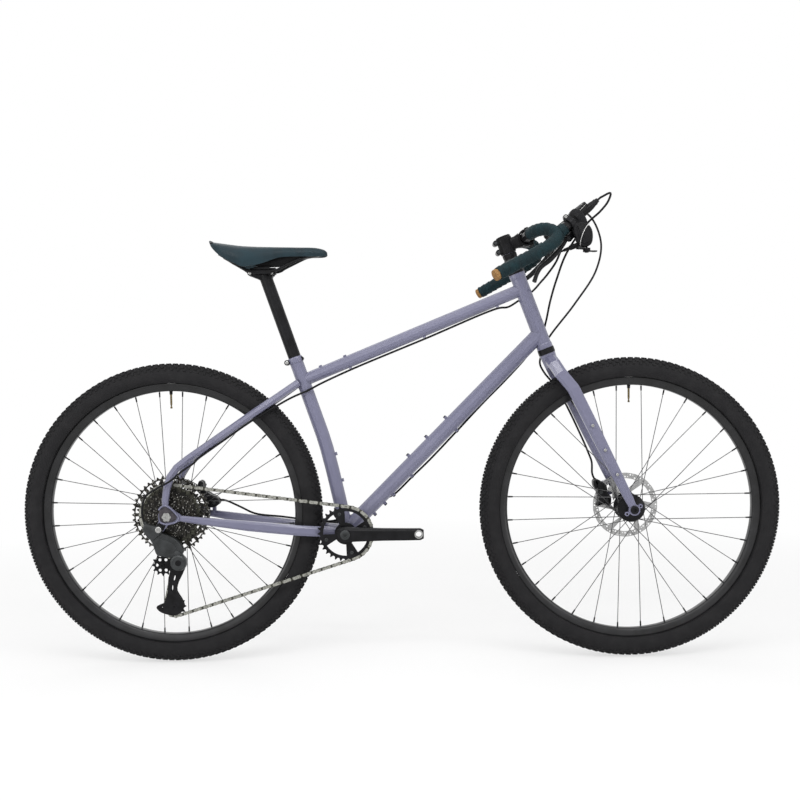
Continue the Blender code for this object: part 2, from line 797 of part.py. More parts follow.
def build_chainstay(side):
    """Chainstay with its dropout; side is -1 on the right and 1 on the left."""
    name = "right_chainstay" if side < 0 else "left_chainstay"
    obj = loft(name, chainstay_stations(), sides=8, power=0.75)
    face = REAR_HUB_HALF + GAP
    drop = plate("dropout", dropout_outline(side < 0), -face - DROPOUT_THICK, -face)
    obj = join(obj, drop)
    axle_hole = rod(
        "axle_hole",
        REAR_AXLE - LEFT * (REAR_HUB_HALF + 0.03),
        REAR_AXLE - LEFT * (REAR_HUB_HALF - 0.01),
        REAR_AXLE_R + GAP,
        sides=16,
    )
    obj = cut(obj, axle_hole, shell_cutter())
    if side < 0:
        bolt = REAR_AXLE + Vector((HANGER_BOLT.x - REAR_AXLE.x, 0.0, HANGER_BOLT.z - REAR_AXLE.z))
        hole = rod(
            "bolt_hole",
            bolt - LEFT * (REAR_HUB_HALF + 0.03),
            bolt - LEFT * (REAR_HUB_HALF - 0.01),
            HANGER_BOLT_R + GAP,
            sides=12,
        )
        obj = cut(obj, hole)
    else:
        flipped = mirror_piece(obj, name)
        bpy.data.objects.remove(obj, do_unlink=True)
        flipped.name = name
        obj = join(flipped, *caliper_bracket())
        obj = cut(obj, caliper_space(REAR_CALIPER, REAR_CALIPER_TILT))
    return finish(obj, "lilac_paint")


def caliper_space(centre, tilt):
    """Room for a brake caliper with its clearance on every side."""
    size = (CALIPER_LENGTH + 2.0 * GAP, CALIPER_WIDTH + 2.0 * GAP, CALIPER_HEIGHT + 2.0 * GAP)
    return block("caliper_space", centre, size, Matrix.Rotation(tilt, 3, "Y"))


def caliper_bracket():
    """Two posts on the left chainstay that carry the rear caliper."""
    posts = []
    base = REAR_CALIPER.z - CALIPER_HEIGHT / 2.0 - GAP
    for ahead in (-0.014, 0.014):
        x = REAR_CALIPER.x + ahead
        posts.append(
            block(
                "post",
                (x, REAR_ROTOR_Y + 0.0130, (base + REAR_AXLE.z - 0.012) / 2.0),
                (0.009, 0.010, base - REAR_AXLE.z + 0.012),
            )
        )
    return posts


def seatstay_points():
    """Centre line of the right seatstay, from the seat tube down to the dropout.

    Each row gives a share of the way from the axle to the top tube's foot, and
    from that place the distance ahead, to the left and up.
    """
    route = (
        (1.00, -0.0100, -0.0150, -0.0050),
        (0.90, -0.0337, -0.0300, -0.0111),
        (0.80, -0.0465, -0.0440, -0.0092),
        (0.50, -0.0347, -0.0560, 0.0285),
        (0.00, 0.0515, -0.0660, 0.1368),
        (0.00, 0.0245, -0.0700, 0.1160),
        (0.00, 0.0085, -0.0730, 0.0940),
        (0.00, 0.0005, -0.0760, 0.0660),
        (0.00, -0.0033, -0.0782, 0.0390),
    )
    points = [REAR_AXLE.lerp(TOP_TUBE_REAR, share) + Vector((ahead, side, rise))
              for share, ahead, side, rise in route]
    points.append(Vector((points[-1].x, points[-1].y, REAR_AXLE.z + DROPOUT_TOP + GAP)))
    return points


def build_seatstays():
    path = seatstay_points()
    radii = [SEATSTAY_R] * 7 + [SEATSTAY_R * 0.96, SEATSTAY_R * 0.88, SEATSTAY_R * 0.82]
    right = tube("right_seatstay", path, SEATSTAY_R, radii=radii, resolution=2)
    inner_path = [path[0] + (path[0] - path[1]).normalized() * 0.002, *path[1:-1]]
    inner_path.append(path[-1] - UP * 0.002)
    inner = tube("bore", inner_path, SEATSTAY_R, radii=[r - WALL for r in radii], resolution=1)
    top_cutter = rod("top_cutter", TOP_TUBE_REAR - TOP_DIR * 0.03, TOP_TUBE_FRONT,
                     TOP_TUBE_R + GAP, sides=14)
    right = cut(right, inner, seat_tube_cutter(), top_cutter)
    left = mirror_piece(right, "left_seatstay")
    along = (path[4] - path[3]).normalized()
    outward = along.cross(UP).normalized()
    if outward.y > 0.0:
        outward = -outward
    places = [path[3].lerp(path[4], share) + outward * SEATSTAY_R for share in (0.2, 0.8)]
    right = join(right, *bosses(places, outward, radius=0.0038, height=0.0025, sunk=0.0008))
    mirror_out = Vector((outward.x, -outward.y, outward.z))
    left = join(left, *bosses(mirrored(places), mirror_out, radius=0.0038, height=0.0025,
                              sunk=0.0008))
    finish(left, "lilac_paint")
    return finish(right, "lilac_paint")


def build_seat_clamp():
    """Split collar round the top of the seat tube, with its pinch bolt at the back."""
    low = SEAT_TUBE_LENGTH - 0.014
    inner = SEAT_TUBE_R + 2.0 * GAP
    collar = turned(
        "seat_clamp",
        [(inner, 0.0), (inner + 0.0030, 0.0), (inner + 0.0030, 0.0145), (inner, 0.0145)],
        on_seat(low),
        steps=16,
        axis=SEAT_UP,
    )
    turn = Matrix((SEAT_AHEAD, LEFT, SEAT_UP)).transposed()
    ear = on_seat(low + 0.0072, -inner - 0.0065)
    ears = block("ears", ear, (0.0125, 0.0170, 0.0135), turn)
    slit = block("slit", ear, (0.0200, 0.0018, 0.0200), turn)
    bolt = rod("bolt", ear - LEFT * 0.0115, ear + LEFT * 0.0105, 0.0038, sides=8)
    collar = join(collar, ears)
    tube_space = rod("tube_space", on_seat(low - 0.01), on_seat(low + 0.03), inner, sides=16)
    collar = cut(collar, tube_space, slit)
    collar = join(collar, bolt)
    return finish(collar, "black_alloy")


# Headset, bottom bracket and axles


def headset_cup(name, foot, upward, height):
    """Bearing cup pressed into one end of the head tube; upward is 1 above, -1 below."""
    skirt = HEAD_TUBE_BORE_R - GAP
    bore = STEERER_R + GAP
    rim = HEAD_TUBE_R + 0.0022
    profile = [
        (bore, -0.010),
        (skirt, -0.010),
        (skirt, GAP),
        (rim, GAP),
        (rim, height - GAP),
        (bore, height - GAP),
    ]
    return turned(name, profile, on_axis(foot), steps=16, axis=HEAD_UP * upward)


def build_headset():
    upper = headset_cup("upper_headset_cup", HEAD_TOP_S, 1.0, UPPER_STACK)
    lower = headset_cup("lower_headset_cup", HEAD_FOOT_S, -1.0, LOWER_STACK)
    finish(lower, "black_alloy")
    return finish(upper, "black_alloy")


def build_bottom_bracket():
    """Two outboard bearing cups joined by the sleeve that runs through the shell."""
    sleeve = SHELL_BORE_R - GAP
    bore = SPINDLE_R + 3.0 * GAP
    cup = SHELL_R + 0.0018
    start = SHELL_HALF + GAP
    half = [
        (bore, -CUP_FACE),
        (cup, -CUP_FACE),
        (cup, -start),
        (sleeve, -start),
    ]
    other = [(radius, -height) for radius, height in reversed(half)]
    obj = turned("bottom_bracket", half + other, BB)
    return finish(obj, "black_alloy")


def build_rear_axle():
    """Through axle with its round head outside the right dropout."""
    outer = REAR_HUB_HALF + GAP + DROPOUT_THICK
    head = outer + GAP
    profile = [
        (0.0, -head - 0.0050),
        (0.0085, -head - 0.0050),
        (0.0100, -head - 0.0030),
        (0.0100, -head),
        (REAR_AXLE_R, -head),
        (REAR_AXLE_R, outer - 0.0005),
        (0.0, outer - 0.0005),
    ]
    obj = turned("rear_axle", profile, REAR_AXLE, steps=12)
    socket = rod("socket", REAR_AXLE - LEFT * (head + 0.006), REAR_AXLE - LEFT * (head + 0.001),
                 0.0035, sides=6)
    return finish(cut(obj, socket), "silver_steel")


def build_front_axle(parent):
    """Hollow through axle that threads into the right fork end."""
    outer = FRONT_HUB_HALF + GAP + FRONT_DROPOUT_THICK
    bore = 0.0048
    profile = [
        (bore, -outer + 0.001),
        (FRONT_AXLE_R, -outer + 0.001),
        (FRONT_AXLE_R, outer + GAP),
        (AXLE_HEAD_R, outer + GAP),
        (AXLE_HEAD_R, outer + 0.0050),
        (bore, outer + 0.0050),
    ]
    obj = turned("front_axle", profile, FRONT_AXLE, steps=12)
    return finish(obj, "black_alloy", parent)


# Wheels


def tyre_profile():
    """Hollow tyre section, open towards the rim."""
    side = TYRE_HALF_WIDTH
    bead = RIM_HOOK_R + GAP
    seat = RIM_HALF_WIDTH
    outer = [
        (bead, seat),
        (TYRE_R - 0.0330, side),
        (TYRE_R - 0.0120, side * 0.84),
        (TYRE_R, side * 0.34),
    ]
    inner = [
        (TYRE_R - 0.0045, side * 0.36),
        (TYRE_R - 0.0250, side * 0.93),
        (bead, seat - 0.0024),
    ]
    outside = outer + [(radius, -y) for radius, y in reversed(outer)]
    inside = [(radius, -y) for radius, y in reversed(inner)] + inner
    return outside + inside


def rim_profile():
    half = [
        (RIM_BED_R, 0.0090),
        (RIM_HOOK_R, RIM_HALF_WIDTH),
        (RIM_HOOK_R, RIM_HALF_WIDTH - 0.0018),
        (RIM_BED_R + 0.0040, 0.0085),
    ]
    return half + [(radius, -y) for radius, y in reversed(half)]


def build_tyre(name, parent):
    obj = turned(name, tyre_profile(), parent.matrix_world.translation, steps=WHEEL_STEPS)
    return finish(obj, "tyre_rubber", parent, smooth_angle=50.0)


def build_rim(name, parent):
    centre = parent.matrix_world.translation
    obj = turned(name, rim_profile(), centre, steps=WHEEL_STEPS)
    stem = rod("valve", centre + UP * (RIM_BED_R - 0.043), centre + UP * (RIM_BED_R + 0.0020),
               0.0030, sides=6)
    return finish(join(obj, stem), "black_alloy", parent)


def spoke_lines(centre, flange_r, flange_left, flange_right):
    """Start and end points of the crossed spokes of one wheel."""
    lines = []
    per_side = SPOKE_COUNT // 2
    for index in range(SPOKE_COUNT):
        left = index % 2 == 0
        trailing = (index // 2) % 2 == 0
        lay = SPOKE_LAY if trailing else -SPOKE_LAY
        rim_angle = 2.0 * math.pi * (index + 0.5) / SPOKE_COUNT + math.pi / 2.0
        lean = 2.0 * math.pi / per_side * SPOKE_CROSSES * 0.92
        hub_angle = rim_angle + (lean if trailing else -lean)
        hub = Vector((flange_r * math.cos(hub_angle), 0.0, flange_r * math.sin(hub_angle)))
        hub.y = (flange_left if left else flange_right) + lay
        reach = RIM_BED_R * math.cos(math.pi / WHEEL_STEPS) - 0.0005
        end = Vector((math.cos(rim_angle), 0.0, math.sin(rim_angle))) * reach
        end.y = (SPOKE_RIM_Y if left else -SPOKE_RIM_Y) + lay
        lines.append((centre + hub, centre + end))
    return lines


def build_hub(name, parent, profile, bore, flange_r, flange_left, flange_right):
    """Hub shell with its spokes hooked into the two flanges."""
    centre = parent.matrix_world.translation
    outline = [(bore, profile[0][1]), *profile, (bore, profile[-1][1])]
    obj = turned(name, outline, centre, steps=HUB_STEPS)
    spokes = []
    for hub, end in spoke_lines(centre, flange_r, flange_left, flange_right):
        spokes.append(rod("spoke", hub, end, SPOKE_R, sides=3))
    obj = join(obj, *spokes)
    return finish(obj, "black_alloy", parent)


def build_front_hub(parent):
    """Large generator drum between two flange rims, with the rotor seat on the left."""
    end = FRONT_HUB_HALF - GAP
    seat = FRONT_ROTOR_Y - ROTOR_THICK / 2.0 - GAP
    left = 0.0195
    right = -0.0265
    profile = [
        (0.0100, -end),
        (0.0100, -0.0370),
        (DRUM_R, right - FLANGE_HALF),
        (DRUM_R, right + FLANGE_HALF),
        (DRUM_R - 0.0030, right + FLANGE_HALF),
        (DRUM_R - 0.0030, left - FLANGE_HALF),
        (DRUM_R, left - FLANGE_HALF),
        (DRUM_R, left + FLANGE_HALF),
        (0.0215, 0.0280),
        (0.0215, seat),
        (0.0165, seat),
        (0.0165, seat + 0.0040),
        (0.0100, seat + 0.0040),
        (0.0100, end),
    ]
    return build_hub("front_hub", parent, profile, FRONT_AXLE_R + RUNNING, DRUM_R - 0.0045,
                     left, right)


def build_rear_hub(parent):
    """Slim shell between two flanges, open on the right where the sprockets sit."""
    end = REAR_HUB_HALF - GAP
    seat = REAR_ROTOR_Y - ROTOR_THICK / 2.0 - GAP
    left = 0.0325
    right = -0.0200
    flange = REAR_FLANGE_R
    profile = [
        (0.0160, CASSETTE_FACE + GAP),
        (0.0170, right - FLANGE_HALF),
        (flange, right - FLANGE_HALF),
        (flange, right + FLANGE_HALF),
        (0.0165, right + 0.0070),
        (0.0165, left - 0.0070),
        (flange, left - FLANGE_HALF),
        (flange, left + FLANGE_HALF),
        (0.0215, left + 0.0060),
        (0.0215, seat),
        (0.0165, seat),
        (0.0165, seat + 0.0040),
        (0.0100, seat + 0.0040),
        (0.0100, end),
    ]
    return build_hub("rear_hub", parent, profile, REAR_AXLE_R + RUNNING, flange - 0.0045,
                     left, right)


def build_rotor(name, parent, rotor_y):
    """Brake rotor: a band on six leaning arms round a bolted centre."""
    centre = parent.matrix_world.translation
    low = rotor_y - ROTOR_THICK / 2.0
    inner_r = ROTOR_R - ROTOR_BAND
    core_r = 0.0245
    windows = []
    for index in range(6):
        start = 2.0 * math.pi * index / 6.0
        window = []
        for share in (0.06, 0.45, 0.84):
            angle = start + share * math.pi / 3.0
            window.append((centre.x + inner_r * math.cos(angle),
                           centre.z + inner_r * math.sin(angle)))
        for share in (0.84, 0.06):
            angle = start + (share + 0.55) * math.pi / 3.0
            window.append((centre.x + core_r * math.cos(angle),
                           centre.z + core_r * math.sin(angle)))
        windows.append(window)
    bore = circle(centre, 0.0165 + GAP + 0.0004, 12)
    obj = plate(name, circle(centre, ROTOR_R, 24), low, low + ROTOR_THICK, (bore, *windows))
    return finish(obj, "silver_steel", parent)


# Drivetrain


def sprocket_outline(centre, teeth, tooth_rise=0.0022, root_drop=0.0032):
    """Star shaped outline with one tip and one root for each tooth."""
    radius = pitch_radius(teeth)
    ring = []
    for index in range(2 * teeth):
        angle = math.pi * index / teeth
        reach = radius + (tooth_rise if index % 2 == 0 else -root_drop)
        ring.append((centre.x + reach * math.cos(angle), centre.z + reach * math.sin(angle)))
    return ring


def build_cassette(parent):
    """Eleven sprockets on the freehub body, as one solid of revolution."""
    outer = REAR_HUB_HALF - GAP
    bore = REAR_AXLE_R + RUNNING
    half = TOOTH_THICK / 2.0
    profile = [(bore, CASSETTE_FACE), (CARRIER_R, CASSETTE_FACE)]
    groove = pitch_radius(SPROCKET_TEETH[0]) - SPROCKET_GROOVE
    for index, teeth in enumerate(SPROCKET_TEETH):
        y = BIG_SPROCKET_Y - index * SPROCKET_STEP
        radius = pitch_radius(teeth)
        if index in (0, CHAIN_ON_INDEX):
            profile += [(groove, y + half), (radius, y + half)]
        profile.append((radius, y - half))
        groove = max(radius - SPROCKET_GROOVE, CARRIER_R)
        if index < len(SPROCKET_TEETH) - 1:
            profile.append((groove, y - half))
    profile += [(0.0105, profile[-1][1]), (0.0105, -outer), (bore, -outer)]
    obj = turned("cassette", profile, REAR_AXLE, steps=SPROCKET_STEPS)
    return finish(obj, "black_alloy", parent, smooth_angle=20.0)


def crank_arm_stations(sign):
    """Drive side crank arm, from its boss to the pedal eye; sign is its X direction."""
    path = (
        (-0.0190, -0.0645, 0.0080, 0.0100),
        (-0.0120, -0.0660, 0.0095, 0.0170),
        (0.0000, -0.0680, 0.0100, 0.0192),
        (0.0250, -0.0705, 0.0090, 0.0175),
        (0.0900, -0.0740, 0.0075, 0.0155),
        (0.1450, -0.0775, 0.0070, 0.0150),
        (CRANK_LENGTH + 0.0040, -0.0775, 0.0070, 0.0146),
        (CRANK_LENGTH + 0.0120, -0.0775, 0.0060, 0.0105),
    )
    stations = []
    for along, side, thick, high in path:
        centre = BB + Vector((sign * along, side, 0.0))
        stations.append((centre, LEFT * thick, UP * high))
    return stations


def build_crank_arm(name, sign):
    """One crank arm with its boss, the pedal eye drilled through."""
    arm = loft(name, crank_arm_stations(sign), sides=8, power=0.6)
    boss = rod("boss", BB - LEFT * (CUP_FACE + GAP), BB - LEFT * 0.066, CRANK_BOSS_R, sides=16)
    arm = join(arm, boss)
    eye = BB + Vector((sign * CRANK_LENGTH, 0.0, 0.0))
    hole = rod("pedal_hole", eye - LEFT * 0.10, eye - LEFT * 0.05, PEDAL_HOLE_R, sides=12)
    return cut(arm, hole)


def build_cranks(parent):
    """Drive arm with the spindle, the plain arm on the other side, and the chainring."""
    drive = build_crank_arm("drive_crank", 1.0)
    half = SHELL_HALF + 0.0300
    spindle = rod("spindle", BB - LEFT * 0.0600, BB + LEFT * half, SPINDLE_R, sides=14)
    bore = rod("bore", BB - LEFT * 0.0480, BB + LEFT * (half + 0.01), SPINDLE_R - 0.0022,
               sides=10)
    drive = join(drive, spindle)
    drive = cut(drive, bore)
    plain = build_crank_arm("plain_crank_half", -1.0)
    other = mirror_piece(plain, "plain_crank")
    bpy.data.objects.remove(plain, do_unlink=True)
    socket = rod("socket", BB + LEFT * 0.030, BB + LEFT * (half + GAP), SPINDLE_R + 2.0 * GAP,
                 sides=14)
    other = cut(other, socket)
    finish(other, "black_alloy", parent)
    finish(drive, "black_alloy", parent)
    low = CHAINRING_Y - TOOTH_THICK / 2.0
    bore_ring = circle(BB, CRANK_BOSS_R + GAP, 20)
    windows = []
    for index in range(4):
        start = math.pi / 2.0 * index + math.radians(14.0)
        sweep = math.radians(62.0)
        window = []
        for share in (0.0, 0.33, 0.67, 1.0):
            angle = start + sweep * share
            window.append((BB.x + 0.0515 * math.cos(angle), BB.z + 0.0515 * math.sin(angle)))
        for share in (0.85, 0.15):
            angle = start + sweep * share
            window.append((BB.x + 0.0300 * math.cos(angle), BB.z + 0.0300 * math.sin(angle)))
        windows.append(window)
    ring = plate("chainring", sprocket_outline(BB, CHAINRING_TEETH), low, low + TOOTH_THICK,
                 (bore_ring, *windows))
    return finish(ring, "black_alloy", parent, smooth_angle=20.0)


def chain_loop():
    """Points and outward normals of the chain's pitch line, and its two slanting runs."""
    wheels = (
        (BB, pitch_radius(CHAINRING_TEETH), 1.0, CHAINRING_Y, RING_WRAP_STEPS),
        (REAR_AXLE, pitch_radius(SPROCKET_TEETH[CHAIN_ON_INDEX]), 1.0, CHAIN_Y, RING_WRAP_STEPS),
        (GUIDE_PULLEY, pitch_radius(PULLEY_TEETH), -1.0, CHAIN_Y, PULLEY_WRAP_STEPS),
        (TENSION_PULLEY, pitch_radius(PULLEY_TEETH), 1.0, CHAIN_Y, PULLEY_WRAP_STEPS),
    )
    count = len(wheels)
    tangents = []
    for index in range(count):
        here, r_here, s_here, _, _ = wheels[index]
        after, r_after, s_after, _, _ = wheels[(index + 1) % count]
        span = Vector((after.x - here.x, after.z - here.z))
        heading = math.atan2(span.y, span.x)
        heading += math.asin((s_here * r_here - s_after * r_after) / span.length)
        tangents.append(heading)
    loop = []
    slants = []
    for index in range(count):
        centre, radius, sense, y, steps = wheels[index]
        start = tangents[index - 1] - sense * math.pi / 2.0
        end = tangents[index] - sense * math.pi / 2.0
        while sense * (end - start) < 0.0:
            end += sense * 2.0 * math.pi
        for step in range(steps + 1):
            angle = start + (end - start) * step / steps
            out = Vector((math.cos(angle), 0.0, math.sin(angle)))
            place = Vector((centre.x, y, centre.z)) + out * radius
            loop.append((place, out * sense))
        after, r_after, s_after, y_after, _ = wheels[(index + 1) % count]
        if y_after != y:
            heading = Vector((math.cos(tangents[index]), 0.0, math.sin(tangents[index])))
            arrival = Vector((after.x, y_after, after.z)) + out * sense * s_after * r_after
            slant = (place + heading * CHAIN_LEAD, arrival - heading * CHAIN_LEAD)
            loop += [(end, out * sense) for end in slant]
            slants.append(slant)
    return loop, slants


def chain_band(name, loop, side):
    """One row of side plates, as a closed ribbon beside the pitch line."""
    middle = side * (CHAIN_WIDTH - CHAIN_PLATE) / 2.0
    stations = []
    for place, out in loop:
        stations.append((place + LEFT * middle, LEFT * (CHAIN_PLATE / math.sqrt(2.0)),
                         out * (CHAIN_HEIGHT / math.sqrt(2.0))))
    return loft(name, stations, sides=4, closed=True)


def build_chain():
    """Two rows of plates round the drivetrain, tied by pins along the free runs."""
    loop, slants = chain_loop()
    near = chain_band("chain", loop, -1.0)
    far = chain_band("far_band", loop, 1.0)
    pins = []
    reach = LEFT * (CHAIN_WIDTH / 2.0 - CHAIN_PLATE / 2.0)
    for first, second in slants:
        for share in (0.1, 0.5, 0.9):
            centre = first.lerp(second, share)
            pins.append(rod("pin", centre - reach, centre + reach, CHAIN_PIN_R, sides=4))
    obj = join(near, far, *pins)
    return finish(obj, "chain_steel")


def build_pulley(name, centre, parent):
    y_low = centre.y - TOOTH_THICK / 2.0
    bore = circle(centre, PULLEY_PIN_R + RUNNING, 10)
    obj = plate(name, sprocket_outline(centre, PULLEY_TEETH), y_low, y_low + TOOTH_THICK, (bore,))
    return finish(obj, "black_plastic", parent, smooth_angle=20.0)


def cage_outline(with_tail):
    """Side view of a cage plate round the cage pivot and both pulleys."""
    guide = Vector((GUIDE_PULLEY.x, GUIDE_PULLEY.z))
    low = Vector((TENSION_PULLEY.x, TENSION_PULLEY.z))
    pivot = Vector((CAGE_PIVOT.x, CAGE_PIVOT.z))
    shape = [
        (guide.x - 0.0125, guide.y - 0.0020),
        (guide.x - 0.0080, guide.y + 0.0110),
        (guide.x + 0.0050, guide.y + 0.0150),
        (pivot.x - 0.0100, pivot.y + 0.0150),
        (pivot.x + 0.0080, pivot.y + 0.0145),
        (pivot.x + 0.0165, pivot.y - 0.0010),
        (pivot.x + 0.0080, pivot.y - 0.0220),
        (low.x + 0.0150, low.y + 0.0430),
        (low.x + 0.0205, low.y + 0.0080),
        (low.x + 0.0170, low.y - 0.0130),
        (low.x + 0.0020, low.y - 0.0215),
    ]
    if with_tail:
        shape += [
            (low.x - 0.0240, low.y - 0.0165),
            (low.x - 0.0400, low.y - 0.0060),
            (low.x - 0.0405, low.y + 0.0030),
            (low.x - 0.0260, low.y + 0.0070),
        ]
    shape += [
        (low.x - 0.0180, low.y - 0.0040),
        (low.x - 0.0120, low.y + 0.0160),
        (low.x - 0.0040, low.y + 0.0400),
        (guide.x + 0.0190, guide.y - 0.0220),
        (guide.x - 0.0050, guide.y - 0.0130),
    ]
    return shape


def build_cage(parent):
    """Two plates that hold both pulleys, with the pivot stub of the cage."""
    y = CHAIN_Y
    outer_high = y - CAGE_HALF
    outer = plate("derailleur_cage", cage_outline(True), outer_high - CAGE_PLATE, outer_high)
    inner = plate("inner_plate", cage_outline(True), y + CAGE_HALF, y + CAGE_HALF + CAGE_PLATE)
    extras = []
    for centre in (GUIDE_PULLEY, TENSION_PULLEY):
        reach = CAGE_HALF + CAGE_PLATE + 0.0012
        extras.append(rod("pin", centre - LEFT * reach, centre + LEFT * reach, PULLEY_PIN_R,
                          sides=8))
    stub_low = Vector((CAGE_PIVOT.x, CAGE_PIVOT.y, CAGE_PIVOT.z))
    stub_high = Vector((CAGE_PIVOT.x, outer_high - 0.0010, CAGE_PIVOT.z))
    extras.append(rod("stub", stub_low, stub_high, CAGE_STUB_R, sides=12))
    tail = Vector((TENSION_PULLEY.x - 0.0350, 0.0, TENSION_PULLEY.z - 0.0030))
    extras.append(rod("tail_pin", tail + LEFT * (outer_high - 0.001),
                      tail + LEFT * (y + CAGE_HALF + 0.001), 0.0025, sides=8))
    return finish(join(outer, inner, *extras), "black_alloy", parent)


def link_axis():
    """Direction of the two parallelogram pivots."""
    span = LINK_FOOT - LINK_HEAD
    flat = Vector((span.x, 0.0, span.z)).normalized()
    return Vector((-flat.z, 0.0, flat.x))


def build_derailleur(parents):
    """Body on the hanger, parallelogram link and the knuckle that carries the cage."""
    axis = link_axis()
    flat = Vector((axis.z, 0.0, -axis.x))
    half = 0.0120
    eye = 0.0068
    bolt_head = REAR_HUB_HALF + GAP + DROPOUT_THICK
    bolt = Vector((HANGER_BOLT.x, 0.0, HANGER_BOLT.z))

    body = rod("derailleur_body", LINK_HEAD - axis * half, LINK_HEAD + axis * half, eye, sides=8)
    arm = loft(
        "arm",
        [
            (bolt - LEFT * (bolt_head + 0.0055), LEFT * 0.0050, Vector((0.006, 0.0, 0.010))),
            (LINK_HEAD.lerp(bolt - LEFT * (bolt_head + 0.0105), 0.5), LEFT * 0.0052,
             Vector((0.006, 0.0, 0.011))),
            (LINK_HEAD + LEFT * 0.0005, LEFT * 0.0052, axis * 0.0118),
        ],
        sides=8,
        power=0.8,
    )
    mount = rod("mount", bolt - LEFT * (bolt_head + GAP), bolt - LEFT * (bolt_head + 0.0100),
                0.0088, sides=10)
    screw = rod("screw", bolt - LEFT * (REAR_HUB_HALF + 0.001),
                bolt - LEFT * (bolt_head + 0.0125), HANGER_BOLT_R, sides=8)
    housing_stop = rod("stop", HOUSING_END, HOUSING_END + HOUSING_STOP, 0.0042, sides=8)
    stop_arm = rod("stop_arm", HOUSING_END + Vector((0.003, 0.0, -0.011)),
                   LINK_HEAD + axis * 0.0125, 0.0046, sides=8)
    body = join(body, arm, mount, screw, stop_arm, housing_stop)
    slot_mid = block(
        "slot",
        LINK_HEAD,
        (0.0225, 0.0300, 0.0136),
        Matrix((flat, LEFT, axis)).transposed(),
    )
    pin = rod("pin", LINK_HEAD - axis * half, LINK_HEAD + axis * half, LINK_PIN_R, sides=8)
    body = cut(body, slot_mid)
    body = join(body, pin)
    finish(body, "grey_alloy")

    width = 0.0130
    link_body = loft(
        "derailleur_link",
        [
            (LINK_HEAD, LEFT * eye, axis * (width / 2.0)),
            (LINK_HEAD.lerp(LINK_FOOT, 0.5) - LEFT * 0.0020, LEFT * 0.0062, axis * (width / 2.0)),
            (LINK_FOOT, LEFT * eye, axis * (width / 2.0)),
        ],
        sides=8,
        power=0.7,
    )
    ends = [rod("eye", place - axis * (width / 2.0), place + axis * (width / 2.0), eye, sides=8)
            for place in (LINK_HEAD, LINK_FOOT)]
    link_body = join(link_body, *ends)
    bores = [rod("bore", place - axis * 0.02, place + axis * 0.02, LINK_PIN_R + RUNNING, sides=8)
             for place in (LINK_HEAD, LINK_FOOT)]
    link_body = cut(link_body, *bores)
    finish(link_body, "grey_alloy", parents["link"])

    knuckle = turned(
        "cage_knuckle",
        [
            (0.0, KNUCKLE_FAR),
            (0.0135, KNUCKLE_FAR),
            (0.0172, KNUCKLE_FAR + 0.0045),
            (0.0172, KNUCKLE_NEAR),
            (0.0, KNUCKLE_NEAR),
        ],
        Vector((CAGE_PIVOT.x, 0.0, CAGE_PIVOT.z)),
        steps=14,
    )
    fork_end = rod("fork_end", LINK_FOOT - axis * half, LINK_FOOT + axis * half, eye, sides=8)
    knuckle = join(knuckle, fork_end)
    slot_low = block(
        "slot",
        LINK_FOOT,
        (0.0225, 0.0240, 0.0136),
        Matrix((flat, LEFT, axis)).transposed(),
    )
    pin = rod("pin", LINK_FOOT - axis * half, LINK_FOOT + axis * half, LINK_PIN_R, sides=8)
    stub_hole = rod("stub_hole", CAGE_PIVOT - LEFT * 0.0030, CAGE_PIVOT + LEFT * 0.020,
                    CAGE_STUB_R + RUNNING, sides=12)
    knuckle = cut(knuckle, slot_low, stub_hole)
    knuckle = join(knuckle, pin)
    return finish(knuckle, "black_alloy", parents["knuckle"])


# Brakes, hoses and the shift housing


def build_caliper(name, centre, tilt, axle, hose_end, parent=None):
    """Brake caliper: a body with the rotor's slot, two piston bosses and a hose fitting."""
    turn = Matrix.Rotation(tilt, 3, "Y")
    body = block(name, centre, (CALIPER_LENGTH, CALIPER_WIDTH, CALIPER_HEIGHT), turn,
                 bevel=0.0040)
    pistons = []
    for side in (-1.0, 1.0):
        face = centre + LEFT * side * (CALIPER_WIDTH / 2.0)
        pistons.append(rod("piston", face - LEFT * side * 0.004, face + LEFT * side * 0.0035,
                           0.0100, sides=12))
    inward = (centre - hose_end).normalized()
    fitting = rod("fitting", hose_end, hose_end + inward * 0.014, 0.0040, sides=8)
    body = join(body, *pistons, fitting)
    slot = rod("slot", axle + LEFT * (centre.y - 0.0016), axle + LEFT * (centre.y + 0.0016),
               ROTOR_R + 0.0020, sides=28)
    return finish(cut(body, slot), "black_alloy", parent)


def chainstay_top(index):
    """Point above the left chainstay at one of its stations, where the hose lies."""
    centre, thick, high = chainstay_stations()[index]
    lift = high.length + HOSE_R + 2.0 * GAP
    return Vector((centre.x, -centre.y, centre.z + lift))


def down_tube_side(along, side=0.80, below=0.60):
    """Point beside the lower half of the down tube, where the rear brake hose lies."""
    out = (LEFT * side - DOWN_NORMAL * below) * (DOWN_TUBE_R + HOSE_R + HOSE_CLEAR)
    return BB + DOWN_DIR * along + out


def top_tube_guide(share):
    """Point under the top tube where the shift housing passes a guide."""
    drop = TOP_TUBE_R + GUIDE_HEIGHT + GAP + HOSE_R
    along = TOP_TUBE_LENGTH * share
    return TOP_TUBE_REAR + TOP_DIR * along - TOP_NORMAL * drop - LEFT * GUIDE_SIDE


def under_stay(share):
    """Point below the right seatstay between its third and fifth path points."""
    path = seatstay_points()
    along = (path[4] - path[2]).normalized()
    below = (along.cross(LEFT)).normalized()
    if below.z > 0.0:
        below = -below
    return path[2].lerp(path[4], share) + below * (SEATSTAY_R + HOSE_R + 2.0 * GAP)


def leg_rear(along, gap=0.0006):
    """Point behind the left fork leg, where the front brake hose lies."""
    ahead, side, wide, _ = leg_at(along)
    return on_axis(along, ahead - wide - HOSE_R - gap, side)


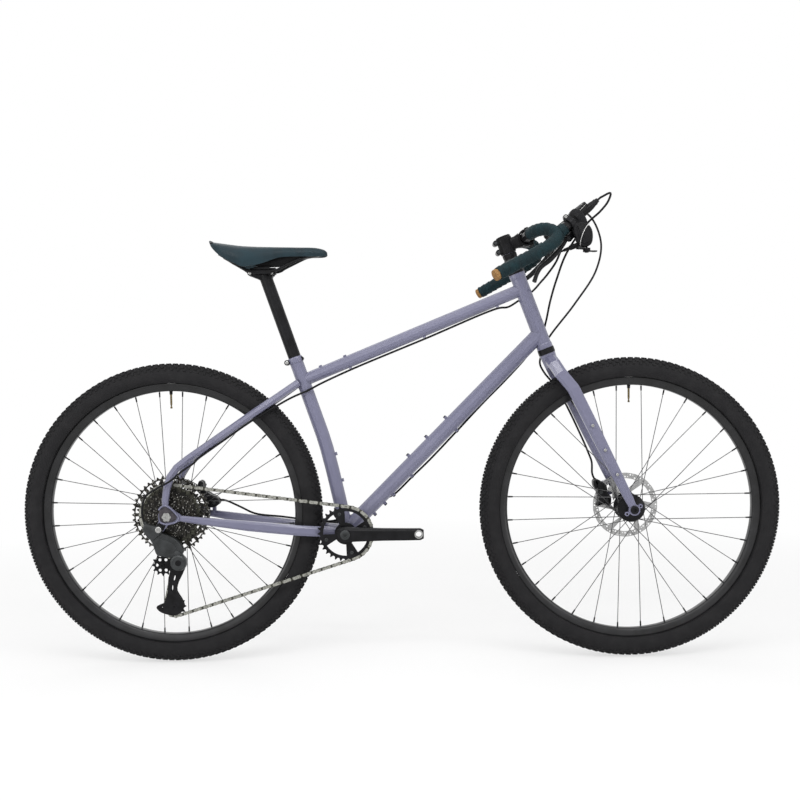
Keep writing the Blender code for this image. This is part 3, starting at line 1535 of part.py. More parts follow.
def seated_path(points, start_aim, end_aim, count):
    """Smooth route whose two ends lie square against what holds them."""
    first = points[0] + start_aim * HOSE_LEAD
    last = points[-1] + end_aim * HOSE_LEAD
    middle = smooth_path([first, *points[1:-1], last], count - 2)
    return [points[0] + start_aim * GAP, *middle, points[-1] + end_aim * GAP]


def build_hoses(steering):
    """Both brake hoses and the shift housing on their routes along the bicycle."""
    right_port = bar_point(MASTER_FRONT)
    left_port = mirrored([right_port])[0]
    right_aim = (MASTER_FRONT - MASTER_REAR).normalized()
    left_aim = mirrored([right_aim])[0]
    rear = [
        right_port,
        bar_point(Vector((0.1790, -0.1290, 0.0830))),
        bar_point(Vector((0.1740, -0.1285, 0.0650))),
        bar_point(Vector((0.1567, -0.1260, 0.0430))),
        bar_point(Vector((0.1260, -0.1160, 0.0150))),
        bar_point(Vector((0.0830, -0.1010, -0.0480))),
        bar_point(Vector((0.0645, -0.0700, -0.1040))),
        bar_point(Vector((0.0550, -0.0250, -0.1540))),
        on_axis(0.4950, 0.0255, 0.0040),
        on_axis(0.4740, 0.0120, 0.0240),
        down_tube_side(DOWN_TUBE_LENGTH * 0.954, 0.90, 0.55),
        down_tube_side(DOWN_TUBE_LENGTH * 0.902, 0.62, 0.79),
        down_tube_side(DOWN_TUBE_LENGTH * 0.797, 0.44, 0.90),
        down_tube_side(DOWN_TUBE_LENGTH * 0.686, 0.44, 0.90),
        down_tube_side(0.363, 0.36, 1.00),
        down_tube_side(0.266, 0.34, 1.08),
        down_tube_side(0.207, 0.36, 1.02),
        down_tube_side(0.143, 0.45, 0.95),
        down_tube_side(0.122, 0.95, 0.62),
        down_tube_side(0.095, 1.15, 0.05),
        BB + Vector((0.0300, 0.0240, 0.0420)),
        BB + Vector((0.0000, 0.0250, 0.0300)),
        chainstay_top(8),
        chainstay_top(7),
        chainstay_top(6),
        chainstay_top(5),
        chainstay_top(4),
        chainstay_top(3).lerp(chainstay_top(4), 0.5) + Vector((0.0, -0.0010, 0.0070)),
        REAR_HOSE_END + Vector((0.0200, 0.0010, -0.0020)),
        REAR_HOSE_END,
    ]
    rear_aim = (REAR_HOSE_END - REAR_CALIPER).normalized()
    rear_path = seated_path(rear, right_aim, rear_aim, 50)
    finish(tube("rear_brake_hose", rear_path, HOSE_R, resolution=0), "black_plastic")
    front = [
        left_port,
        bar_point(Vector((0.1715, 0.1310, 0.0770))),
        bar_point(Vector((0.1900, 0.1300, 0.0560))),
        bar_point(Vector((0.2060, 0.1230, 0.0000))),
        bar_point(Vector((0.1880, 0.1000, -0.0700))),
        bar_point(Vector((0.1280, 0.0640, -0.1550))),
        on_axis(0.452, 0.018, 0.034),
        on_axis(0.428, -0.004, 0.040),
        on_axis(0.405, -0.019, 0.045),
        on_axis(0.380, -0.017, 0.049),
        leg_rear(0.340),
        leg_rear(0.290),
        leg_rear(0.210),
        leg_rear(0.150),
        leg_rear(0.125, 0.0020),
        FRONT_HOSE_END + HEAD_UP * 0.016,
        FRONT_HOSE_END,
    ]
    front_aim = (FRONT_HOSE_END - FRONT_CALIPER).normalized()
    front_path = seated_path(front, left_aim, front_aim, 34)
    finish(tube("front_brake_hose", front_path, HOSE_R, resolution=0), "black_plastic", steering)
    shift = [
        bar_point(SHIFT_PORT),
        bar_point(Vector((0.0560, -0.1150, -0.0700))),
        bar_point(Vector((0.0407, -0.0800, -0.0950))),
        on_axis(0.5860, 0.0400, -0.0400),
        on_axis(0.5770, 0.0262, 0.0010),
        on_axis(0.5720, 0.0130, 0.0235),
        on_axis(0.5670, -0.0130, 0.0235),
        bar_point(Vector((-0.0430, 0.0060, -0.1635))),
        top_tube_guide(GUIDE_SHARES[2]),
        top_tube_guide(GUIDE_SHARES[1]),
        top_tube_guide(GUIDE_SHARES[0]),
        TOP_TUBE_REAR + Vector((0.0420, -0.0195, -0.0090)),
        TOP_TUBE_REAR + Vector((0.0130, -0.0212, -0.0240)),
        TOP_TUBE_REAR + Vector((-0.0250, -0.0250, -0.0400)),
        TOP_TUBE_REAR + Vector((-0.0600, -0.0330, -0.0590)),
        under_stay(0.12),
        under_stay(0.50),
        under_stay(0.88),
        REAR_AXLE + Vector((0.0665, -0.0800, 0.1270)),
        REAR_AXLE + Vector((0.0415, -0.0880, 0.1100)),
        REAR_AXLE + Vector((0.0115, -0.0920, 0.0860)),
        REAR_AXLE + Vector((-0.0220, -0.0940, 0.0680)),
        REAR_AXLE + Vector((-0.0470, -0.0940, 0.0500)),
        REAR_AXLE + Vector((-0.0560, -0.0920, 0.0150)),
        HOUSING_END,
    ]
    port_aim = (SHIFT_PORT - POD - POD_PORT).normalized()
    shift_path = seated_path(shift, port_aim, -HOUSING_STOP.normalized(), 50)
    return finish(tube("shift_housing", shift_path, HOSE_R, resolution=0), "black_plastic")


# Fork


def leg_rows():
    """Fork leg: along the axis, ahead, to the side, half width and half thickness."""
    return (
        (0.4040, 0.0010, 0.0000, 0.0150, 0.0150),
        (0.4020, 0.0010, 0.0180, 0.0155, 0.0140),
        (0.3930, 0.0020, 0.0350, 0.0155, 0.0110),
        (0.3680, 0.0060, 0.0470, 0.0155, 0.0095),
        (0.3220, 0.0207, 0.0540, 0.0155, 0.0090),
        (0.2000, 0.0325, 0.0580, 0.0148, 0.0085),
        (0.1000, 0.0421, 0.0605, 0.0130, 0.0075),
        (0.0300, 0.0489, 0.0620, 0.0112, 0.0060),
        (0.0060, 0.0512, 0.0620, 0.0090, 0.0045),
    )


def leg_at(along):
    """Ahead, side, half width and half thickness of the fork leg at one height."""
    rows = leg_rows()
    for high, low in zip(rows, rows[1:]):
        if low[0] <= along <= high[0]:
            share = (high[0] - along) / (high[0] - low[0])
            return [high[i] + (low[i] - high[i]) * share for i in range(1, 5)]
    return list(rows[-1][1:])


def build_fork_leg(side):
    centres = [on_axis(row[0], row[1], row[2] * side) for row in leg_rows()]
    stations = []
    for index, row in enumerate(leg_rows()):
        before = centres[max(index - 1, 0)]
        after = centres[min(index + 1, len(centres) - 1)]
        along = (after - before).normalized()
        thick = along.cross(HEAD_AHEAD).normalized()
        wide = thick.cross(along).normalized()
        stations.append((centres[index], wide * row[3], thick * row[4]))
    return loft("leg", stations, sides=8, power=0.75)


def build_fork(parent):
    """Steerer, crown, both legs with their bosses and the two ends for the axle."""
    top = STEM_TOP_S - 0.0025
    obj = turned(
        "fork",
        [
            (0.0, AXLE_TO_CROWN - 0.0330),
            (HEAD_TUBE_R - 0.0015, AXLE_TO_CROWN - 0.0330),
            (HEAD_TUBE_R + 0.0008, AXLE_TO_CROWN - 0.0050),
            (HEAD_TUBE_R + 0.0008, AXLE_TO_CROWN),
            (STEERER_R, AXLE_TO_CROWN),
            (STEERER_R, top),
            (STEERER_BORE_R, top),
            (STEERER_BORE_R, AXLE_TO_CROWN - 0.0050),
            (0.0, AXLE_TO_CROWN - 0.0050),
        ],
        AXIS_FOOT,
        steps=14,
        axis=HEAD_UP,
    )
    obj = join(obj, build_fork_leg(-1.0), build_fork_leg(1.0))
    inner = FRONT_HUB_HALF + GAP
    tools = []
    for side in (-1.0, 1.0):
        tools.append(rod("end", FRONT_AXLE + LEFT * side * inner,
                         FRONT_AXLE + LEFT * side * (inner + FRONT_DROPOUT_THICK), 0.0138,
                         sides=14))
        eye = FRONT_AXLE + LEFT * side * (inner + FRONT_DROPOUT_THICK / 2.0)
        tools.append(block("eyelets", eye + Vector((-0.0016, 0.0, -0.0004)),
                           (0.0430, 0.0060, 0.0070),
                           Matrix.Rotation(math.radians(-30.0), 3, "Y")))
        for along in LEG_BOSSES:
            ahead, out, _, thick = leg_at(along)
            face = on_axis(along, ahead, side * (out + thick))
            tools.append(rod("boss", face - LEFT * side * 0.002, face + LEFT * side * 0.0035,
                             BOSS_R, sides=5))
    for along, span in ((0.0690, 0.0052), (0.0410, 0.0052)):
        ahead, out, wide, _ = leg_at(along)
        lug = on_axis(along, ahead - wide - 0.0040, out - 0.0060)
        tools.append(block("lug", lug, (0.0180, 0.0120, 2.0 * span), HEAD_TURN))
    obj = join(obj, *tools)
    hole = rod("axle_hole", FRONT_AXLE - LEFT * 0.09, FRONT_AXLE + LEFT * 0.09,
               FRONT_AXLE_R + GAP, sides=12)
    between = rod("hub_space", FRONT_AXLE - LEFT * (inner - GAP), FRONT_AXLE + LEFT * (inner - GAP),
                  0.0135, sides=14)
    face = inner + FRONT_DROPOUT_THICK
    heads = [rod("head_space", FRONT_AXLE + LEFT * side * face, FRONT_AXLE + LEFT * side * 0.09,
                 AXLE_HEAD_R + 0.0015, sides=14) for side in (-1.0, 1.0)]
    obj = cut(obj, hole, between, caliper_space(FRONT_CALIPER, FRONT_CALIPER_TILT), *heads)
    return finish(obj, "lilac_paint", parent)


# Stem and handlebar


def bar_point(offset):
    """Point given from the middle of the handlebar clamp."""
    return BAR_CENTRE + offset


def build_spacers(parent):
    """Stack of round spacers between the headset and the stem."""
    inner = STEERER_R + 3.0 * GAP
    foot = HEAD_TOP_S + UPPER_STACK + GAP
    top = STEM_FOOT_S - GAP
    count = 4
    step = (top - foot) / count
    outline = [(inner, foot)]
    for index in range(count):
        low = foot + index * step
        outline.append((SPACER_R - (0.0 if index == 0 else 0.0008), low))
        outline.append((SPACER_R, low + (0.0 if index == 0 else 0.0006)))
    outline.append((SPACER_R, top))
    outline.append((inner, top))
    obj = turned("headset_spacers", outline, AXIS_FOOT, steps=12, axis=HEAD_UP)
    return finish(obj, "black_alloy", parent)


def build_stem(parent):
    """Stem with its split at the back, the bar clamp and the removable front plate."""
    middle = STEM_FOOT_S + STEM_HEIGHT / 2.0
    outer = STEERER_R + 0.0042
    clamp_r = BAR_CLAMP_R + 0.0046
    half = 0.0230
    stem = rod("stem", on_axis(STEM_FOOT_S), on_axis(STEM_TOP_S), outer, sides=16)
    neck = block("neck", on_axis(middle, STEM_LENGTH * 0.48), (0.0420, 0.0300, 0.0300),
                 HEAD_TURN)
    clamp = rod("clamp", BAR_CENTRE - LEFT * half, BAR_CENTRE + LEFT * half, clamp_r, sides=16)
    ears = [block("ear", on_axis(middle + rise, -outer - 0.0050), (0.0180, 0.0240, 0.0110),
                  HEAD_TURN) for rise in (-0.0115, 0.0115)]
    stem = join(stem, neck, clamp, *ears)
    front_space = block("front_space", on_axis(middle, STEM_LENGTH + 0.0306),
                        (0.0600, 0.0700, 0.0800), HEAD_TURN)
    steerer_space = rod("steerer_space", on_axis(STEM_FOOT_S - 0.01), on_axis(STEM_TOP_S + 0.01),
                        STEERER_R + 2.0 * GAP, sides=14)
    bar_space = rod("bar_space", BAR_CENTRE - LEFT * 0.05, BAR_CENTRE + LEFT * 0.05,
                    BAR_CLAMP_R + 2.0 * GAP, sides=16)
    slit = block("slit", on_axis(middle, -outer - 0.0080), (0.0300, 0.0020, 0.0600), HEAD_TURN)
    stem = cut(stem, front_space, steerer_space, bar_space, slit)
    bolts = []
    for rise in (-0.0115, 0.0115):
        place = on_axis(middle + rise, -outer - 0.0085)
        bolts.append(rod("bolt", place - LEFT * 0.0125, place + LEFT * 0.0125, 0.0030, sides=6))
    finish(join(stem, *bolts), "black_alloy", parent)

    face = rod("stem_faceplate", BAR_CENTRE - LEFT * half, BAR_CENTRE + LEFT * half, clamp_r,
               sides=16)
    screws = []
    for side in (-1.0, 1.0):
        for rise in (-1.0, 1.0):
            place = BAR_CENTRE + HEAD_UP * rise * 0.0190 + LEFT * side * 0.0155
            screws.append(rod("screw", place + HEAD_AHEAD * 0.0030, place + HEAD_AHEAD * 0.0115,
                              0.0042, sides=6))
    face = join(face, *screws)
    rear_space = block("rear_space", on_axis(middle, STEM_LENGTH - 0.0288),
                       (0.0600, 0.0700, 0.0800), HEAD_TURN)
    bar_space = rod("bar_space", BAR_CENTRE - LEFT * 0.05, BAR_CENTRE + LEFT * 0.05,
                    BAR_CLAMP_R + 2.0 * GAP, sides=16)
    face = cut(face, rear_space, bar_space)
    finish(face, "black_alloy", parent)

    cap = turned(
        "top_cap",
        [
            (0.0, GAP),
            (outer - 0.0006, GAP),
            (outer - 0.0006, 0.0030),
            (outer - 0.0026, 0.0048),
            (0.0050, 0.0048),
            (0.0044, 0.0030),
            (0.0, 0.0030),
        ],
        on_axis(STEM_TOP_S),
        steps=14,
        axis=HEAD_UP,
    )
    return finish(cap, "black_alloy", parent)


def bar_side_points():
    """Right half of the handlebar from the clamp out, forward and back to the grip end."""
    route = (
        (0.0000, 0.0000, 0.0000),
        (0.0000, -0.0450, 0.0000),
        (0.0030, -0.0750, 0.0015),
        (0.0130, -0.1050, 0.0040),
        (0.0300, -0.1330, 0.0030),
        (0.0460, -0.1540, -0.0060),
        (0.0520, -0.1680, -0.0180),
        (0.0410, -0.1840, -0.0340),
        (0.0030, -0.2060, -0.0580),
        (-0.0420, -0.2260, -0.0820),
        (-0.0900, -0.2440, -0.1080),
    )
    return [bar_point(Vector(p)) for p in route]


def bar_radius(place):
    """Outer radius of the handlebar: thick in the clamp and slim outside it."""
    out = abs(place.y)
    if out < 0.030:
        return BAR_CLAMP_R
    if out < 0.055:
        return BAR_CLAMP_R + (BAR_R - BAR_CLAMP_R) * (out - 0.030) / 0.025
    return BAR_R


def build_handlebar(parent):
    """One bent tube with a control stub reaching forward on each side."""
    right = bar_side_points()
    left = mirrored(right)
    path = list(reversed(right)) + left[1:]
    radii = [bar_radius(p) for p in path]
    obj = tube("handlebar", path, BAR_R, radii=radii, resolution=2)
    long_path = [path[0] + (path[0] - path[1]).normalized() * 0.003, *path[1:-1],
                 path[-1] + (path[-1] - path[-2]).normalized() * 0.003]
    bore = tube("bore", long_path, BAR_R, radii=[r - BAR_WALL for r in radii], resolution=0)
    stubs = []
    for side in (-1.0, 1.0):
        foot = bar_point(Vector((STUB_FOOT.x, STUB_FOOT.y * side, STUB_FOOT.z)))
        tip = bar_point(Vector((STUB_TIP.x, STUB_TIP.y * side, STUB_TIP.z)))
        stubs.append(rod("stub", foot, tip, BAR_R, sides=12))
    obj = cut(join(obj, *stubs), bore)
    return finish(obj, "black_alloy", parent)


def build_tape(name, parent):
    """Wound tape on the right half of the bar, in ridged laps from the hump to the end."""
    points = bar_side_points()[TAPE_START_INDEX:]
    inner_path = [points[0] + (points[0] - points[1]).normalized() * 0.004, *points[1:-1],
                  points[-1] + (points[-1] - points[-2]).normalized() * 0.004]
    outer_path = []
    radii = []
    for first, second in zip(points, points[1:]):
        outer_path.append(first)
        radii.append(TAPE_R)
        outer_path.append(first.lerp(second, 0.86))
        radii.append(TAPE_R - TAPE_LAP)
    outer_path.append(points[-1])
    radii.append(TAPE_R - TAPE_LAP)
    obj = tube(name, outer_path, TAPE_R, radii=radii, resolution=2)
    bore = tube("bore", inner_path, TAPE_BORE_R, resolution=2)
    foot = bar_point(STUB_FOOT)
    tip = bar_point(STUB_TIP)
    sleeve = rod("sleeve", foot, foot.lerp(tip, 0.36), TAPE_R - 0.0006, sides=12)
    stub_space = rod("stub_space", foot, tip, TAPE_BORE_R, sides=12)
    obj = cut(join(obj, sleeve), bore, stub_space)
    return finish(obj, "teal_tape", parent)


def build_end_plug(parent):
    """Cork plug in the right end of the bar."""
    points = bar_side_points()
    along = (points[-1] - points[-2]).normalized()
    profile = [
        (0.0, -0.0140),
        (PLUG_R, -0.0140),
        (PLUG_R, GAP),
        (TAPE_R - 0.0004, GAP),
        (TAPE_R - 0.0004, 0.0060),
        (TAPE_R - 0.0030, 0.0095),
        (0.0, 0.0105),
    ]
    obj = turned("right_end_plug", profile, points[-1], steps=12, axis=along)
    left = mirror_piece(obj, "left_end_plug")
    finish(left, "tan_cork", parent)
    return finish(obj, "tan_cork", parent)


# Brake levers and shifter


def stub_point(share):
    """Point on the right control stub."""
    return bar_point(STUB_FOOT.lerp(STUB_TIP, share))


def ring_tools(share, half, radius):
    """A clamp ring round the control stub and the shape that clears the stub."""
    centre = stub_point(share)
    along = (STUB_TIP - STUB_FOOT).normalized()
    ring = rod("ring", centre - along * half, centre + along * half, radius, sides=12)
    space = rod("stub_space", centre - along * 0.045, centre + along * 0.045,
                BAR_R + 2.0 * GAP, sides=12)
    return ring, space


def lever_frame():
    """Pivot point, pivot axis and blade direction of the right brake lever."""
    blade = (LEVER_TIP - LEVER_PIVOT).normalized()
    grip = (GRIP_AIM - LEVER_PIVOT).normalized()
    axis = blade.cross(grip).normalized()
    return bar_point(LEVER_PIVOT), axis, blade


def build_brake_control(parent, lever_parents):
    """Both master cylinders with their clamps, reservoirs and hinged levers."""
    pivot, axis, blade = lever_frame()
    side = axis.cross(blade).normalized()
    turn = Matrix((axis, blade, side)).transposed()
    start = bar_point(MASTER_REAR)
    end = bar_point(MASTER_FRONT)
    along = (end - start).normalized()
    over = LEFT.cross(along) * -1.0
    ring, space = ring_tools(0.62, 0.0060, 0.0156)
    body = rod("right_brake_body", start, end - along * 0.0120, 0.0092, sides=10)
    nose = rod("nose", end - along * 0.0140, end, 0.0060, 0.0042, sides=8)
    tank = block("tank", start.lerp(end, 0.42) + over * 0.0085, (0.0420, 0.0215, 0.0150),
                 Matrix((along, LEFT, over)).transposed())
    bridge = block("bridge", start.lerp(stub_point(0.62), 0.5), (0.0120, 0.0300, 0.0100))
    arm = rod("arm", start + along * 0.006, pivot - blade * 0.0120, 0.0072, sides=8)
    lug = block("lug", pivot - blade * 0.0050, (0.0200, 0.0270, 0.0140), turn)
    slot = block("slot", pivot + blade * 0.0065, (2.0 * (LEVER_HALF + GAP), 0.0300, 0.0300), turn)
    pin = rod("pin", pivot - axis * 0.0096, pivot + axis * 0.0096, LEVER_PIN_R, sides=8)
    body = join(body, nose, tank, ring, bridge, arm, lug)
    body = join(cut(body, space, slot), pin)
    left_body = mirror_piece(body, "left_brake_body")
    finish(left_body, "black_alloy", parent)
    finish(body, "black_alloy", parent)

    bends = [place - axis * axis.dot(place - LEVER_PIVOT) for place in LEVER_BEND]
    route = [LEVER_PIVOT + blade * 0.002, *bends, LEVER_TIP]
    widths = (0.0046, 0.0046, 0.0058, 0.0052, 0.0036)
    stations = []
    for index, place in enumerate(route):
        before = route[max(index - 1, 0)]
        after = route[min(index + 1, len(route) - 1)]
        thick = axis.cross((after - before).normalized()).normalized()
        stations.append((bar_point(place), axis * widths[index], thick * 0.0033))
    lever = loft("right_brake_lever", stations, sides=8, power=0.7)
    boss = rod("boss", pivot - axis * LEVER_HALF, pivot + axis * LEVER_HALF, 0.0062, sides=10)
    bore = rod("bore", pivot - axis * 0.02, pivot + axis * 0.02, LEVER_PIN_R + RUNNING, sides=8)
    lever = cut(join(lever, boss), bore)
    left_lever = mirror_piece(lever, "left_brake_lever")
    finish(left_lever, "black_alloy", lever_parents["left"])
    return finish(lever, "black_alloy", lever_parents["right"])


def build_shifter(parent, lever_parents):
    """Trigger shifter below the right stub with its thumb lever and release lever."""
    pod_centre = bar_point(POD)
    ring, space = ring_tools(0.88, 0.0050, 0.0140)
    pod = block("shifter_body", pod_centre, POD_SIZE, bevel=0.0060)
    hanger = rod("hanger", stub_point(0.88) + Vector((0.0080, 0.0, -0.0100)),
                 pod_centre + UP * 0.0140, 0.0065, sides=8)
    port = bar_point(SHIFT_PORT)
    barrel = rod("barrel", port, pod_centre + POD_PORT, 0.0044, sides=8)
    foot = pod_centre - UP * (POD_SIZE[2] / 2.0)
    levels = THUMB_THICK + RELEASE_THICK + 3.0 * GAP
    pin = rod("pin", foot + UP * 0.002, foot - UP * (levels + 0.0004), THUMB_PIN_R, sides=8)
    head = rod("head", foot - UP * levels, foot - UP * (levels + 0.0014), 0.0044, sides=8)
    body = cut(join(pod, ring, hanger, barrel), space)
    body = join(body, pin, head)
    finish(body, "black_plastic", parent)
    top = foot.z - GAP
    for name, thick, reach, key in (
        ("shift_thumb_lever", THUMB_THICK, THUMB_REACH, "thumb"),
        ("shift_release_lever", RELEASE_THICK, RELEASE_REACH, "release"),
    ):
        middle = Vector((foot.x, foot.y, top - thick / 2.0))
        disc = rod(name, middle - UP * thick / 2.0, middle + UP * thick / 2.0, 0.0085, sides=12)
        out = reach.normalized()
        across = UP.cross(out)
        blade = loft(
            "blade",
            [
                (middle + out * 0.003, across * 0.0060, UP * (thick / 2.0)),
                (middle + out * (reach.length * 0.6), across * 0.0050, UP * (thick / 2.0)),
                (middle + out * (reach.length * 0.72), across * 0.0080, UP * (thick / 2.0)),
                (middle + out * reach.length, across * 0.0070, UP * (thick / 2.0)),
            ],
            sides=4,
        )
        bore = rod("bore", middle - UP * 0.01, middle + UP * 0.01, THUMB_PIN_R + RUNNING, sides=8)
        lever = cut(join(disc, blade), bore)
        finish(lever, "black_plastic", lever_parents[key])
        top -= thick + GAP


# Seatpost and saddle


def build_seatpost(parent):
    """Hollow post with the lower cradle for the saddle rails on top."""
    foot = SEAT_TUBE_LENGTH - SEATPOST_INSERT
    obj = rod("seatpost", on_seat(foot), POST_HEAD - SEAT_UP * 0.002, SEATPOST_R, sides=18)
    bore = rod("bore", on_seat(foot - 0.01), POST_HEAD - SEAT_UP * 0.030, SEATPOST_R - 0.0021,
               sides=12)
    low = block("cradle", CLAMP_CENTRE - UP * (CRADLE_HEIGHT / 2.0 + 0.0010),
                (CLAMP_LENGTH, 2.0 * RAIL_SPREAD + 0.0125, CRADLE_HEIGHT))
    bar = block("bolt_bar", CLAMP_CENTRE - UP * (CRADLE_HEIGHT / 2.0 + 0.0015),
                (2.0 * BOLT_REACH + 0.0110, 0.0125, CRADLE_HEIGHT - 0.0010))
    obj = cut(join(obj, low, bar), bore)
    grooves = rail_spaces(RAIL_R + 2.0 * GAP)
    holes = [rod("hole", CLAMP_CENTRE + Vector((x, 0.0, 0.01)),
                 CLAMP_CENTRE + Vector((x, 0.0, -0.03)), BOLT_R + 2.0 * GAP, sides=8)
             for x in (-BOLT_REACH, BOLT_REACH)]
    obj = cut(obj, *grooves, *holes)
    return finish(obj, "black_alloy", parent)


def rail_spaces(radius):
    """Straight bars along the flat part of the two rails."""
    spaces = []
    for side in (-1.0, 1.0):
        centre = CLAMP_CENTRE + LEFT * side * RAIL_SPREAD
        spaces.append(rod("rail_space", centre - Vector((0.05, 0.0, 0.0)),
                          centre + Vector((0.05, 0.0, 0.0)), radius, sides=8))
    return spaces


def build_saddle_clamp(parent):
    """Upper clamp over both rails, with its two bolts."""
    top = block("saddle_clamp", CLAMP_CENTRE + UP * (CAP_HEIGHT / 2.0 + 0.0010),
                (CLAMP_LENGTH - 0.006, 2.0 * RAIL_SPREAD + 0.0125, CAP_HEIGHT))
    bar = block("bar", CLAMP_CENTRE + UP * (CAP_HEIGHT / 2.0 + 0.0012),
                (2.0 * BOLT_REACH + 0.0100, 0.0110, CAP_HEIGHT - 0.0010))
    top = cut(join(top, bar), *rail_spaces(RAIL_R + 2.0 * GAP))
    bolts = [rod("bolt", CLAMP_CENTRE + Vector((x, 0.0, CAP_HEIGHT - 0.001)),
                 CLAMP_CENTRE + Vector((x, 0.0, -CRADLE_HEIGHT - 0.0050)), BOLT_R, sides=6)
             for x in (-BOLT_REACH, BOLT_REACH)]
    return finish(join(top, *bolts), "black_alloy", parent)


def saddle_rows():
    """Saddle cover: distance ahead of the clamp, crown height, half width, edge height."""
    return (
        (-0.1260, 0.0720, 0.0400, 0.0640),
        (-0.1120, 0.0645, 0.0620, 0.0450),
        (-0.0900, 0.0570, 0.0760, 0.0300),
        (-0.0560, 0.0530, 0.0780, 0.0120),
        (-0.0280, 0.0515, 0.0670, 0.0070),
        (0.0020, 0.0508, 0.0510, 0.0100),
        (0.0420, 0.0500, 0.0320, 0.0245),
        (0.0850, 0.0497, 0.0225, 0.0265),
        (0.1250, 0.0495, 0.0185, 0.0270),
        (0.1480, 0.0450, 0.0140, 0.0290),
        (0.1560, 0.0400, 0.0080, 0.0320),
    )


def saddle_height(ahead, side):
    """Height of the saddle cover above the rails at a place."""
    rows = saddle_rows()
    for first, second in zip(rows, rows[1:]):
        if first[0] <= ahead <= second[0]:
            share = (ahead - first[0]) / (second[0] - first[0])
            crown, width, edge = [first[i] + (second[i] - first[i]) * share for i in (1, 2, 3)]
            out = min(abs(side) / width, 1.0) ** (1.0 / SADDLE_SIDE_POWER)
            return edge + (crown - edge) * math.sqrt(1.0 - out * out) ** SADDLE_TOP_POWER
    return rows[-1][1]


def arch_point(side):
    """Point of the rear arch, which follows the cover a little below it."""
    drop = SADDLE_SHELL * 1.8 + ARCH_R + GAP
    return CLAMP_CENTRE + Vector((ARCH_X, side, saddle_height(ARCH_X, side) - drop))


def build_saddle(parent):
    """Sprung cover as a shell, and the rails with their rear arch and nose plate."""
    count = 8
    bm = bmesh.new()
    rows = []
    for ahead, crown, width, edge in saddle_rows():
        row = []
        for index in range(count + 1):
            angle = math.pi * (index / count - 0.5)
            s = math.sin(angle)
            c = max(math.cos(angle), 0.0)
            y = math.copysign(abs(s) ** SADDLE_SIDE_POWER, s) * width
            z = edge + (crown - edge) * c ** SADDLE_TOP_POWER
            row.append(bm.verts.new(CLAMP_CENTRE + Vector((ahead, y, z))))
        rows.append(row)
    for low, high in zip(rows, rows[1:]):
        for index in range(count):
            bm.faces.new((low[index], low[index + 1], high[index + 1], high[index]))
    for face in bm.faces:
        face.normal_update()
    mesh = bpy.data.meshes.new("saddle_cover")
    bm.to_mesh(mesh)
    bm.free()
    cover = link("saddle_cover", mesh)
    shell = cover.modifiers.new("shell", "SOLIDIFY")
    shell.thickness = SADDLE_SHELL
    shell.offset = -1.0 if mesh.polygons[0].normal.z > 0.0 else 1.0
    shell.use_even_offset = True
    cover = bake(cover)
    finish(cover, "teal_rubber", parent, smooth_angle=60.0)

    tools = []
    for side in (-1.0, 1.0):
        route = []
        for ahead, out, rise in RAIL_ROUTE:
            route.append(CLAMP_CENTRE + Vector((ahead, side * out, rise)))
        route.append(arch_point(side * RAIL_END_Y))
        tools.append(tube("rail", route, RAIL_R, resolution=1))
    arch = [arch_point(ARCH_HALF * (index / 4.0 - 1.0)) for index in range(9)]
    obj = tube("saddle_rails", arch, ARCH_R, resolution=1)
    nose = block("nose_plate", CLAMP_CENTRE + Vector((0.1180, 0.0, 0.0350)),
                 (0.0220, 0.0250, 0.0060), bevel=0.0015)
    obj = join(obj, nose, *tools)
    return finish(obj, "black_alloy", parent)


# Assembly


